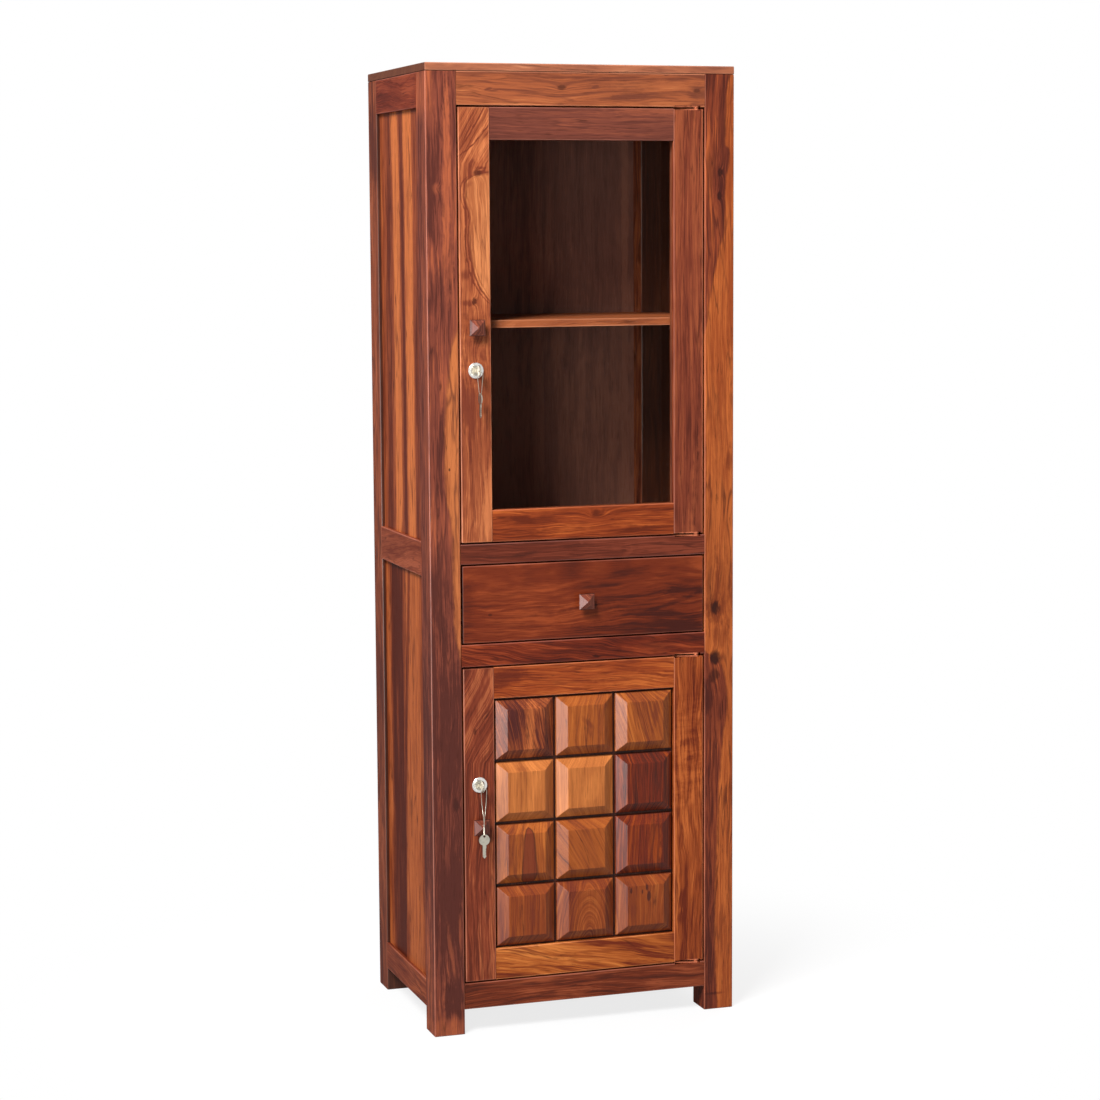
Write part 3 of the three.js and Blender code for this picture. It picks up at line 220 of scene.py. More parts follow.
class Board(Finish):
    """The finish of one board. A place is read in millimetres from the board's middle: across
    its wider side, through its depth and along its grain. Turn leans the figure on the board."""

    def __init__(self, name, box, grain, seed, turn):
        super().__init__(name)
        self.seed = seed
        self.spot = self.place()
        size = {axis: (high - low) * 1000 for axis, low, high in zip("xyz", *box)}
        middle = {axis: (high + low) * 500 for axis, low, high in zip("xyz", *box)}
        cross = sorted("xyz".replace(grain, ""), key=lambda axis: round(-size[axis], 1))
        across, depth, along = (self.spot[axis] - middle[axis] for axis in [*cross, grain])
        self.half_depth = size[cross[1]] / 2
        half_length = size[grain] / 2
        self.ends = abs(along).rise(half_length - end_rim, half_length - skin)
        self.across, self.depth, self.along = across, depth, along
        if turn:
            self.across = across * math.cos(turn) + along * math.sin(turn)
            self.along = along * math.cos(turn) - across * math.sin(turn)
        self.bend = self.drawn_out(0.006, 0.0021, start=seed * 3.1)
        self.ripple = self.drawn_out(0.03, 0.013, start=seed)
        self.ragged = self.drawn_out(0.1, 0.04, start=seed * 1.7, detail=3.0, roughness=0.65)
        self.cloud = self.drawn_out(0.022, 0.006, start=seed, detail=3.0, roughness=0.55)
        self.fibre = self.drawn_out(0.8, 0.018, begin=seed, roughness=0.6)
        self.pore = self.drawn_out(1.1, 0.04, begin=seed, detail=1.0)

    def drawn_out(self, fine, long, start=0.0, begin=0.0, detail=2.0, roughness=0.5):
        """Noise stretched along the grain. A millimetre across or in depth moves it by fine, one
        along moves it by long, and start and begin are where it starts across and along."""
        return self.noise(
            self.across * fine + start,
            self.depth * fine,
            self.along * long + begin,
            detail,
            roughness,
        )

    def lay_rings(self, ring, pith, wander, swirl, sweep, arch, knots):
        """Works out how far each place lies from the pith. Slow noise and a ripple bend the
        rings, an arch makes them ovals round a point, and a sweep leans them above a height. A
        knot adds push / (1 + r2), where r2 is the square of the distance from it in its own
        half sizes. Returns the shares of the knots' dark cores."""
        bent = self.across
        if arch:
            at, up, squash = arch
            bent = ((self.across - at) ** 2 + ((self.along - up) * squash) ** 2) ** 0.5
        if sweep:
            start, rate = sweep
            bent = bent - (self.along - start).most(0) * rate
        bent = bent + self.bend * wander + self.ripple * swirl
        cores = []
        for at, up, half_width, half_length, push, darkness in knots:
            reach = ((self.across - at) / half_width) ** 2 + ((self.along - up) / half_length) ** 2
            bent = bent + push * half_width / (reach + 1)
            cores.append((1 - (reach + self.ragged * ragged_rim).rise(0.2, 1.05)) * darkness)
        self.ring = ring
        self.from_pith = ((bent - pith[0]) ** 2 + (self.depth - pith[1]) ** 2) ** 0.5
        self.quick = self.ringed(0.45, 0.005, 7.7, detail=3.0, roughness=0.65)
        return cores

    def ringed(self, widths, long, shift, detail=2.0, roughness=0.5):
        """Noise that follows the growth rings. It changes once in so many ring widths from the
        pith, and by long for each millimetre along. Shift sets one such noise off from another."""
        return self.noise(
            self.from_pith / (self.ring * widths),
            self.along * long,
            self.seed * shift,
            detail,
            roughness,
        )

    def brightness(self, contrast, bands, curl, patches):
        """About 0 in dark wood and 1 in light wood: lines of noise along the rings, a cloud and
        the fibre, which bands along the grain, curled waves across it and patches raise or
        lower. Returns it with each patch's share and strength."""
        slow = self.ringed(2.4, 0.0016, 1.0)
        hair = self.ringed(0.1, 0.012, 3.3, detail=1.0)
        spread = slow * 1.4 + self.quick * 1.8 + hair * 1.2 + self.cloud * 1.2 + self.fibre * 0.7
        bright = spread * contrast + 0.5
        for half_width, strength, points in bands:
            off = abs(self.across + self.ragged * ragged_reach - self.track(self.along, points))
            bright = bright + (1 - off.rise(half_width * 0.6, half_width * 1.15)) * strength
        if curl:
            up, half_length, strength = curl
            waves = self.drawn_out(0.035, 0.08, begin=self.seed, detail=3.0, roughness=0.65)
            near = 1 - (abs(self.along - up) / half_length).rise(0.5, 1.1)
            bright = bright + waves * near * strength
        spots = []
        for at, up, half_width, half_length, lean, strength in patches:
            sideways = (self.across - at - (self.along - up) * lean) / half_width
            lengthways = (self.along - up) / half_length
            oval = (sideways**2 + lengthways**2) ** 0.5
            reach = oval + self.ragged * ragged_rim + self.bend * 0.6
            share = (1 - reach.rise(0.3, 1.25)) * abs(strength)
            spots.append((share, strength))
            bright = bright + share * math.copysign(patch_lift, strength)
        return bright, spots

    def lay_sapwood(self, colour, bright, dark, sap, borders):
        """Lays sapwood on one side of each border, a line through points, with a dark seam."""
        for side, softness, points in borders:
            edge = self.across + self.ragged * ragged_reach + self.quick * 6
            share = ((edge - self.track(self.along, points)) * side).rise(-softness, softness)
            pale = self.mix(bright.rise(0.1, 0.85), tone(*sap[0]), tone(*sap[1]))
            colour = self.mix(share, colour, pale)
            colour = self.mix(share * (1 - share) * 1.2, colour, dark)
        return colour

    def lay_tongue(self, colour, deep, tongue):
        """Lays a tongue of dark heartwood in an inked outline. Its half width follows points."""
        at, points = tongue
        inside = self.track(self.along, points) - abs(self.across - at)
        colour = self.mix(inside.rise(-0.5, 1.0) * 0.85, colour, tone(*tongue_heart))
        return self.mix((1 - abs(inside).rise(0.6, 2.4)) * 0.8, colour, deep)


def rosewood(
    name,
    box,
    grain,
    palette,
    seed,
    pith=(90, 60),
    ring=16.0,
    wander=60.0,
    swirl=9.0,
    contrast=1.0,
    ink=0.65,
    turn=0.0,
    sweep=None,
    arch=None,
    knots=(),
    bands=(),
    borders=(),
    patches=(),
    tongue=None,
    curl=None,
    sap=sapwood,
    shine=0.3,
    roughness=0.4,
    stained=0,
):
    """Lacquered rosewood for one board. Its brightness runs from the dark colour of the palette
    through the middle one to the light one. Sapwood, a tongue and patches lie over that, then
    veins and ink lines, which are where a noise passes through 0, the cores of the knots and
    the pores. The edges are painted paler, a highlight on the arrises and wear, and the end grain
    is dark. The last argument is 1 or -1 for a board whose face on that side of its depth gets a
    dark stain and painted shade, and 0 for the others. A mark's place is given across and along
    the grain, and its size as half widths and half lengths."""
    board = Board(name, box, grain, seed, turn)
    cores = board.lay_rings(ring, pith, wander, swirl, sweep, arch, knots)
    bright, spots = board.brightness(contrast, bands, curl, patches)

    dark, mid, light = (tone(*colour) for colour in palette)
    deep = tuple(part * shadow_share for part in dark)
    # Colour of the painted highlight on the arrises, paler as worn wood too.
    edge_wear_and_sheen_colour = tuple(min(1.0, part * 1.25 + 0.06) for part in light)
    colour = board.mix(bright.rise(0.02, 0.52), dark, mid)
    colour = board.mix(bright.rise(0.48, 0.98), colour, light)
    colour = board.lay_sapwood(colour, bright, dark, sap, borders)
    if tongue:
        colour = board.lay_tongue(colour, deep, tongue)
    for share, strength in spots:
        colour = board.mix(share * 0.5, colour, light if strength > 0 else dark)

    vein = board.ringed(1.1, 0.004, 2.3, roughness=0.6)
    line = board.ringed(0.7, 0.003, 5.1, detail=1.0)
    veined = (1 - abs(vein).rise(0.0, 0.045)) * board.cloud.rise(-0.2, 0.2) * ink * 1.2
    inked = (1 - abs(line).rise(0.0, 0.02)) * board.ragged.rise(-0.15, 0.15) * ink
    fleck = (1 - board.pore.rise(-0.2, -0.1)) * 0.35
    colour = board.mix(veined, colour, dark)
    for mark in [inked, *cores, fleck]:
        colour = board.mix(mark, colour, deep)

    # Painted highlight along the arrises, with paler wear: the edges are lightened in the colour.
    edge = edge_closeness(board.spot, box, edge_wear_and_sheen_width)
    edge_wear_and_sheen = edge * board.cloud.rise(-0.3, 0.1) * (1 - board.ends) * 0.7
    colour = board.mix(edge_wear_and_sheen, colour, edge_wear_and_sheen_colour)
    colour = board.mix(board.ends * 0.85, colour, deep)
    # Painted shade and a dark stain on the inner face: the inside of the cabinet is darkened in
    # the colour.
    if stained:
        depth = board.depth * stained
        inner = depth.rise(board.half_depth - stain_and_shade_rim, board.half_depth - skin)
        colour = board.mix(inner * 0.85, colour, tone(*inside_stain_and_shade))

    gloss = shine - fleck * 0.3
    lacquer(board, colour, board.fibre * 0.15 + fleck * 0.2 + roughness, gloss)
    board.relief(board.fibre - fleck - inked * 0.5, 0.00025, 0.4)
    return board.material


def dress(node_name, material):
    """Gives a node of the frame its material."""
    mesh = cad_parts[node_name].data
    mesh.materials.clear()
    mesh.materials.append(material)


def dress_board(node_name, grain, palette, seed, **figure):
    """Gives a node of the frame a rosewood of its own, as long and wide as the node is."""
    dress(node_name, rosewood(node_name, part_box(node_name), grain, palette, seed, **figure))


dress_board(
    "front_left_post",
    "z",
    ((82, 38, 30), (125, 62, 46), (168, 88, 56)),
    1.3,
    pith=(-70, 44),
    ring=15,
    wander=40,
    sap=((147, 77, 44), (189, 109, 62)),
    knots=[
        (10, 171, 2.2, 3.5, 0.8, 0.8),
        (17, -465, 8, 15, 1.6, 0.6),
        (-9, 690, 6, 8, 1.4, 0.0),
    ],
    borders=[
        (
            1,
            3.5,
            [
                (-230, 40),
                (-180, 26),
                (-107, 16),
                (6, 15),
                (62, 14),
                (100, 6),
                (153, 1),
                (230, 1),
                (268, 2),
                (313, 7),
                (379, 13),
                (412, 21),
                (440, 36),
            ],
        )
    ],
    patches=[
        (10, 745, 9, 190, 0.01, 0.7),
        (12, 560, 12, 90, -0.03, 0.5),
        (-19, 760, 11, 170, 0, -0.4),
        (25, 770, 6, 130, 0, -0.4),
        (-10, 690, 8, 12, 0, 0.5),
        (-14, 500, 14, 44, 0.2, -0.5),
        (-4, 310, 4, 42, 0.05, 0.6),
        (0, -520, 60, 430, 0, -0.55),
        (4, -390, 15, 80, 0.15, -0.6),
        (14, -640, 14, 130, 0, -0.5),
        (4, -745, 5, 62, -0.14, 0.7),
        (22, -712, 4, 44, 0, 0.7),
        (7, -836, 19, 36, 0, -0.9),
        (0, -898, 40, 24, 0, 0.7),
        (-30, 868, 12, 50, 0, 0.6),
    ],
)
dress_board(
    "front_right_post",
    "z",
    ((72, 28, 19), (118, 52, 32), (176, 88, 46)),
    2.6,
    pith=(80, -50),
    ring=18,
    wander=40,
    contrast=0.85,
    sap=((146, 68, 32), (190, 101, 49)),
    knots=[
        (2, 720, 6, 9, 1.7, 0.8),
        (0, 675, 6, 9, 1.7, 0.8),
        (-8, -114, 12, 16, 1.2, 0.95),
        (-7, -212, 14, 17, 1.2, 0.95),
        (-10, -246, 12, 18, 0.6, 0.7),
    ],
    borders=[
        (
            1,
            3,
            [
                (-900, -3),
                (-690, -8),
                (-600, -5),
                (-510, -1),
                (-430, 4),
                (-385, 7),
                (-340, 13),
                (-300, 17),
                (-265, 15),
                (-245, 11),
                (-222, 2),
                (-205, -16),
                (-190, -32),
                (400, -32),
                (430, -26),
                (508, -14),
                (551, -5),
                (581, 1),
                (628, 11),
                (700, 12),
                (757, 20),
                (774, 12),
                (889, 18),
            ],
        )
    ],
    patches=[
        (0, 700, 14, 50, 0, -0.3),
        (0, 60, 90, 200, 0, -0.25),
        (0, -80, 60, 80, 0, -0.4),
        (-8, -116, 22, 28, 0, -0.6),
        (4, -170, 22, 30, 0, -0.4),
        (22, 175, 8, 30, 0, -0.6),
        (-4, -40, 4, 70, -0.1, -0.35),
        (-21, -290, 9, 36, 0, -0.6),
        (3, -315, 7, 22, 0, -0.4),
        (-8, -880, 24, 3, 0, -0.5),
    ],
)
dress_board(
    "back_left_post",
    "z",
    ((84, 38, 28), (130, 64, 40), (162, 88, 58)),
    3.9,
    pith=(-90, 50),
    patches=[(-30, 770, 24, 90, 0, -0.6), (-20, -300, 20, 380, 0, -0.5)],
    stained=-1,
)
dress_board(
    "back_right_post",
    "z",
    ((80, 38, 28), (132, 66, 42), (176, 98, 58)),
    5.2,
    pith=(90, -60),
    stained=-1,
)


# Top board: one wide board laid on the posts and rails, flush with them all round, so that its
# end grain shows at the side and its edge at the front.

dress_board(
    "top_board",
    "x",
    ((128, 74, 55), (163, 97, 68), (192, 125, 90)),
    6.5,
    pith=(150, 90),
    ring=22,
    contrast=0.7,
    stained=-1,
)


# Rails: straight lengths between the posts, tenoned into them and flush with their faces. The
# front ones divide the door openings from the drawer.

dress_board(
    "front_top_rail",
    "x",
    ((112, 58, 40), (158, 85, 51), (188, 111, 67)),
    7.1,
    pith=(40, -60),
    ring=15,
    contrast=0.75,
    knots=[(3.7, -40, 6, 10, 1.6, 0.7), (-2, 229, 6, 10, 1.6, 0.55)],
    # Painted shadow: a dark band along the rail's top edge, where the top board's edge shades it.
    bands=[(2.0, -2.0, [(0, 30.4)])],
    patches=[
        (-1.5, -184, 2.5, 7, 0.2, -0.8),
        (-4, -172, 2, 12, 0.1, -0.5),
        (4.4, 25, 3, 7, 0.3, -0.8),
        (-13, 96, 4, 40, 0, -0.7),
        (-9, 120, 3, 26, 0.1, -0.5),
        (8, 140, 10, 90, 0, 0.3),
        (-2, 232, 16, 20, 0, -0.6),
    ],
)
dress_board(
    "drawer_upper_rail",
    "x",
    ((68, 27, 17), (95, 39, 24), (124, 57, 38)),
    8.4,
    pith=(60, -40),
    ring=12,
    contrast=0.9,
    patches=[(14, -5, 4, 5, 0, 0.6), (-6, 90, 9, 12, 0.6, 0.4), (-4, -120, 6, 30, 0.2, -0.4)],
)
dress_board(
    "drawer_lower_rail",
    "x",
    ((60, 18, 10), (104, 36, 17), (146, 62, 31)),
    9.8,
    pith=(50, -50),
    ring=12,
    wander=80,
    swirl=16,
    turn=0.16,
    knots=[(-10, 25, 3.5, 10, 1.4, 0.8)],
    patches=[(4, -170, 20, 60, 0, -0.3), (10, 130, 12, 80, 0, 0.3)],
)
dress_board(
    "front_bottom_rail",
    "x",
    ((74, 29, 16), (110, 45, 23), (150, 74, 44)),
    10.9,
    pith=(50, -40),
    ring=14,
    patches=[(-10, -20, 8, 50, 0, 0.4), (14, 40, 6, 30, 0, -0.5)],
)
for rail_name, seed in (("back_top_rail", 12.1), ("back_bottom_rail", 13.3)):
    dress_board(rail_name, "x", ((78, 36, 26), (124, 62, 40), (158, 88, 54)), seed)
for side, shift in (("left", 0.0), ("right", 40.0)):
    dress_board(
        f"{side}_top_rail",
        "y",
        ((88, 32, 21), (116, 47, 30), (140, 64, 40)),
        14.2 + shift,
        pith=(60, 40),
        ring=13,
        wander=70,
        swirl=14,
    )
    dress_board(
        f"{side}_middle_rail",
        "y",
        ((104, 43, 27), (131, 63, 41), (154, 80, 54)),
        15.4 + shift,
        pith=(60, 40),
        ring=14,
        wander=80,
        swirl=14,
        turn=0.12,
    )
    dress_board(
        f"{side}_bottom_rail",
        "y",
        ((92, 38, 24), (124, 56, 34), (152, 78, 48)),
        16.6 + shift,
        pith=(60, 40),
    )


# Side panels: one upright board in each field, sawn from the outside of the log, so that dark
# heartwood and orange sapwood run down it side by side. They float in grooves, 7 mm behind the
# faces of the rails, and are dark on the inside: a stain, deepened by painted shade.

dress_board(
    "left_upper_panel",
    "z",
    ((92, 38, 25), (144, 70, 42), (198, 110, 60)),
    0.7,
    pith=(300, 160),
    ring=20,
    wander=24,
    swirl=5,
    contrast=0.6,
    bands=[
        (26, 0.5, [(-360, 34), (-100, 28), (200, 30), (360, 36)]),
        (10, -0.45, [(-360, -17), (-100, -17), (360, -6)]),
        (31, 0.42, [(-360, -60), (360, -52)]),
        (30, -0.3, [(-360, -116), (-160, -118), (360, -112)]),
        (20, -0.25, [(-360, 92), (360, 84)]),
    ],
    knots=[(72, 310, 5, 9, 1.0, 0.4), (66, 20, 5, 9, 1.0, 0.4)],
    stained=1,
)
dress_board(
    "left_lower_panel",
    "z",
    ((78, 28, 16), (126, 56, 30), (178, 94, 50)),
    21.4,
    pith=(300, 160),
    ring=20,
    wander=24,
    swirl=5,
    contrast=0.6,
    bands=[
        (18, 0.3, [(0, 122)]),
        (44, -0.4, [(-280, 60), (280, 56)]),
        (10, -0.4, [(-280, 22), (-120, 14), (280, -20)]),
        (66, 0.42, [(-280, -50), (280, -54)]),
    ],
    stained=1,
)
dress_board(
    "right_upper_panel",
    "z",
    ((92, 38, 25), (142, 70, 42), (192, 106, 58)),
    33.8,
    pith=(-280, 150),
    ring=20,
    wander=30,
    swirl=6,
    contrast=0.65,
    bands=[(26, 0.4, [(0, 70)]), (12, -0.5, [(0, 10)]), (30, 0.3, [(0, -60)])],
    stained=-1,
)
dress_board(
    "right_lower_panel",
    "z",
    ((80, 34, 20), (132, 62, 34), (184, 100, 54)),
    47.2,
    pith=(-300, 150),
    ring=20,
    wander=30,
    swirl=6,
    contrast=0.65,
    bands=[(24, -0.35, [(0, -90)]), (40, 0.35, [(0, 30)]), (14, -0.4, [(0, 110)])],
    stained=-1,
)


# Back: one thin sheet of upright boards, which stands in grooves of the back posts and rails. It
# is stained and gets little lacquer, so it is dull inside and out.

dress_board(
    "back_panel",
    "z",
    ((106, 69, 60), (128, 84, 72), (152, 100, 82)),
    17.7,
    pith=(260, 140),
    ring=24,
    wander=24,
    swirl=4,
    contrast=0.6,
    ink=0.15,
    # Painted light: the second band lifts the left half of the back, where the left stile shades
    # it.
    bands=[(7, 0.6, [(0, 226)]), (120, 0.35, [(0, -120)]), (12, 0.25, [(0, 40)])],
    # Painted light: this broad pale patch lifts the middle of the back, where the inside of the
    # cabinet lies in shade.
    patches=[(0, 60, 500, 460, 0, 0.4)],
    shine=0.1,
    roughness=0.55,
)


# Floors and shelf: plain boards housed in the posts. The shelf is of paler wood, and its front
# edge shows through the glass.

for board_name, seed in (("upper_floor", 18.3), ("drawer_bearer", 19.9), ("bottom_board", 20.8)):
    dress_board(board_name, "x", ((76, 36, 26), (122, 62, 40), (156, 86, 54)), seed)
dress_board(
    "upper_shelf",
    "x",
    ((130, 64, 38), (170, 90, 53), (196, 113, 70)),
    22.2,
    pith=(60, 60),
    contrast=0.7,
)


# Stemware rack: T-shaped runners fixed under the top board, with open slots between them, and a
# batten that joins them at the back. All of it is dark wood.

dress_board("stemware_rack", "y", ((64, 32, 24), (110, 56, 38), (144, 80, 52)), 23.5)


# Upper door: two stiles with two rails tenoned between them, round the glass. The lock stile is
# cut from orange wood with a slanting figure, the other three from darker boards.

tongue_edge = [
    (36, 50),
    (58, 20),
    (84, 5),
    (114, -5),
    (169, -10),
    (206, -9),
    (242, -19),
    (262, -17),
    (284, 50),
]
dress_board(
    "upper_door_lock_stile",
    "z",
    ((112, 50, 32), (160, 84, 50), (200, 118, 72)),
    24.6,
    pith=(70, -30),
    ring=13,
    wander=40,
    swirl=12,
    sweep=(300, 0.55),
    sap=((164, 92, 54), (208, 130, 80)),
    knots=[(6, 283, 10, 8, 1.8, 0.75), (-2, 47, 6, 8, 2.0, 0.8), (4, -50, 15, 34, 1.2, 0.0)],
    bands=[
        (2, -0.9, [(300, -44), (315, -27), (333, -3), (359, 20), (374, 32), (390, 50)]),
        (1.8, -0.6, [(310, -44), (326, -28), (362, -3), (403, 20)]),
        (2.4, -1.0, [(up, at - 1) for up, at in tongue_edge]),
        (1.5, -0.4, [(up, at + 6) for up, at in tongue_edge]),
        (1.6, -0.5, [(up, at - 8) for up, at in tongue_edge]),
    ],
    borders=[(1, 2, tongue_edge)],
    patches=[
        (10, 328, 15, 28, 0.35, 0.8),
        (18, 283, 20, 5, 0, -0.9),
        (14, 292, 16, 4, 0.3, -0.7),
        (-10, 262, 8, 8, 0.5, -0.7),
        (-24, 165, 6, 110, 0, 0.4),
        (-12, 44, 14, 6, 0, -0.7),
        (-10, -150, 22, 60, 0, -0.4),
        (-20, 95, 10, 10, 0, -0.6),
        (0, -40, 26, 60, 0, -0.3),
        (0, -230, 60, 200, 0, -0.5),
        (24, -320, 12, 90, 0.1, 0.8),
    ],
    curl=(-40, 90, 0.7),
)
dress_board(
    "upper_door_hinge_stile",
    "z",
    ((84, 34, 22), (120, 54, 35), (152, 78, 48)),
    25.9,
    pith=(90, -40),
    ring=11,
    wander=26,
    swirl=4,
    contrast=0.9,
    bands=[(2.6, 0.5, [(0, 28.5)])],
    patches=[(26, -300, 22, 170, 0.12, 0.45)],
)
dress_board(
    "upper_door_top_rail",
    "x",
    ((86, 43, 34), (112, 58, 45), (142, 75, 52)),
    26.4,
    pith=(60, -40),
    ring=11,
    swirl=12,
    contrast=0.8,
    patches=[(24, 120, 8, 95, 0, 0.5)],
)
dress_board(
    "upper_door_bottom_rail",
    "x",
    ((96, 35, 14), (140, 59, 25), (182, 90, 40)),
    27.8,
    pith=(50, -50),
    ring=13,
    wander=60,
    swirl=14,
    knots=[(15, 26, 10, 17, 2.4, 0.25)],
    patches=[
        (10, -124, 10, 26, 0, -0.6),
        (8, -80, 12, 40, 0, -0.3),
        (16, 24, 9, 14, 0, -0.5),
        (-13, -48, 10, 60, 0, 0.4),
        (-6, 95, 9, 60, 0, 0.3),
    ],
)
dress_board("glazing_bead", "z", ((80, 38, 26), (118, 58, 38), (148, 80, 50)), 28.1)


# Glass: one clear float pane, 4 mm thick. It lies in the door's rebate, against the lip, and the
# bead behind holds it there.

glass_tint = (0.97, 0.985, 0.98)
mirrored_straight, mirrored_slanting = 0.008, 0.9


def clear_glass():
    """A clear sheet: light goes straight through with a faint green tint. The share that each
    face mirrors is small straight on and grows with the fifth power towards a slant."""
    finish = Finish("clear_glass")
    through = finish.node("ShaderNodeBsdfTransparent", {}, {"Color": glass_tint})
    facing = finish.node("ShaderNodeLayerWeight", {}, {"Blend": 0.5}).outputs["Facing"]
    mirrored = Value(finish, facing) ** 5 * mirrored_slanting + mirrored_straight
    place = finish.place()
    smear = finish.noise(place["x"] * 0.01, place["y"] * 0.01, place["z"] * 0.006, 3.0, 0.6)
    finish.shader.inputs["Base Color"].default_value = (0.02, 0.025, 0.022, 1)
    finish.feed(finish.shader.inputs["Roughness"], smear * 0.05 + 0.035)
    finish.shader.inputs["Specular IOR Level"].default_value = 1.0
    blend = finish.node(
        "ShaderNodeMixShader",
        {},
        {0: mirrored, 1: through.outputs[0], 2: finish.shader.outputs[0]},
    )
    finish.feed(finish.tree.nodes["Material Output"].inputs["Surface"], blend.outputs[0])
    return finish.material


dress("door_glass", clear_glass())


# Lower door: the same frame of stiles and tenoned rails, round a field of blocks. Its bottom rail
# is cut from the palest board and its lock stile from the darkest.

dress_board(
    "lower_door_lock_stile",
    "z",
    ((90, 37, 23), (129, 57, 35), (172, 94, 58)),
    29.3,
    pith=(-70, -40),
    ring=13,
    wander=50,
    swirl=14,
    sweep=(120, 0.5),
    knots=[(-8, 181, 4, 8, 1.2, 0.6)],
    patches=[
        (26, 278, 5, 24, 0, 0.8),
        (22, -150, 6, 150, 0, 0.3),
        (-12, -180, 14, 120, 0, -0.3),
        (0, 230, 24, 60, -0.2, -0.3),
    ],
)
dress_board(
    "lower_door_hinge_stile",
    "z",
    ((98, 34, 15), (148, 68, 30), (190, 100, 48)),
    30.6,
    pith=(80, -50),
    ring=12,
    wander=40,
    swirl=16,
    patches=[
        (-6, 134, 16, 8, 0, -0.5),
        (4, 102, 15, 6, 0, -0.4),
        (-14, -60, 8, 20, 0, -0.4),
        (-14, -179, 8, 26, 0, -0.7),
        (-17, -214, 7, 14, 0, -0.6),
        (12, 20, 14, 60, 0, 0.3),
    ],
    curl=(110, 130, 1.1),
)
dress_board(
    "lower_door_top_rail",
    "x",
    ((98, 36, 18), (150, 66, 28), (194, 102, 46)),
    31.2,
    pith=(54, -50),
    ring=12,
    wander=80,
    swirl=16,
    turn=0.08,
    patches=[(-3, -160, 24, 46, 0.2, -0.5), (0, 92, 16, 92, 0, 0.3)],
)
dress_board(
    "lower_door_bottom_rail",
    "x",
    ((108, 40, 18), (170, 87, 36), (208, 122, 58)),
    32.5,
    pith=(50, -50),
    ring=12,
    wander=60,
    swirl=12,
    turn=0.14,
    patches=[
        (0, -94, 30, 90, 0, 0.25),
        (-8, 111, 7, 46, 0, -0.45),
        (-20, 172, 30, 22, 0, -0.5),
    ],
)


# Blocks: twelve offcuts of rosewood, each bevelled on its four sides to a raised flat, glued in
# three columns on a board. No two are from the same plank, which is the door's ornament.


def block_surface(low, high, y_face, y_edge, y_back, bevel):
    """A raised block. Three rectangles, one behind the other: the flat face, which is the outline
    less the bevel on each side, the outline at the foot of the bevels and the outline at the
    back. Each corner is the middle plus the half size times the signs -1 and 1."""
    signs = np.array([[-1, -1], [1, -1], [1, 1], [-1, 1]])
    middle, half = (low + high) / 2, (high - low) / 2
    rings = [(half - bevel, y_face), (half, y_edge), (half, y_back)]
    points = np.concatenate(
        [np.insert(middle + signs * size, 1, depth, axis=1) for size, depth in rings]
    )
    faces = [[0, 1, 2, 3], [11, 10, 9, 8]]
    for ring in (0, 4):
        for side in range(4):
            after = (side + 1) % 4
            faces.append([ring + side, ring + 4 + side, ring + 4 + after, ring + after])
    return points, faces


def add_mesh(name, points, faces, material):
    """Puts worked-out points, in millimetres, into a mesh with one material."""
    mesh = bpy.data.meshes.new(name)
    mesh.from_pydata((points / 1000).tolist(), [], faces)
    mesh.materials.append(material)
    piece = bpy.data.objects.new(name, mesh)
    bpy.context.scene.collection.objects.link(piece)
    return piece


def add_block_wood(name, points, faces, material, ease):
    """A piece of the lower door in place of the block panel, its edges rounded by ease."""
    piece = add_mesh(name, points, faces, material)
    soften = piece.modifiers.new("eased edges", "BEVEL")
    soften.width = ease / 1000
    soften.segments = 2
    soften.limit_method = "ANGLE"
    soften.angle_limit = math.radians(12)
    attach(piece, "lower_door")
    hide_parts("block_panel")


def box_of(points):
    return (points.min(axis=0) / 1000).tolist(), (points.max(axis=0) / 1000).tolist()


def corners(node_name):
    """A node's lowest and highest corners in millimetres."""
    return [np.array(corner) * 1000 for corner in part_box(node_name)]


left_edge = corners("lower_door_lock_stile")[1][0]
right_edge = corners("lower_door_hinge_stile")[0][0]
lower_edge = corners("lower_door_bottom_rail")[1][2]
upper_edge = corners("lower_door_top_rail")[0][2]
door_face = corners("lower_door_top_rail")[0][1]
field_low, field_high = np.array([left_edge, lower_edge]), np.array([right_edge, upper_edge])
field_margin, block_gap = 4.0, 5.6
block_counts = np.array([3, 4])
wood_room = field_high - field_low - 2 * field_margin - block_gap * (block_counts - 1)
block_size = wood_room / block_counts
block_face, block_edge, block_back = door_face - 7, door_face + 5, door_face + 10.2
block_bevel = np.array([20.5, 18.5])
block_ease, backing_ease = 0.6, 0.5
block_gloss = 0.5

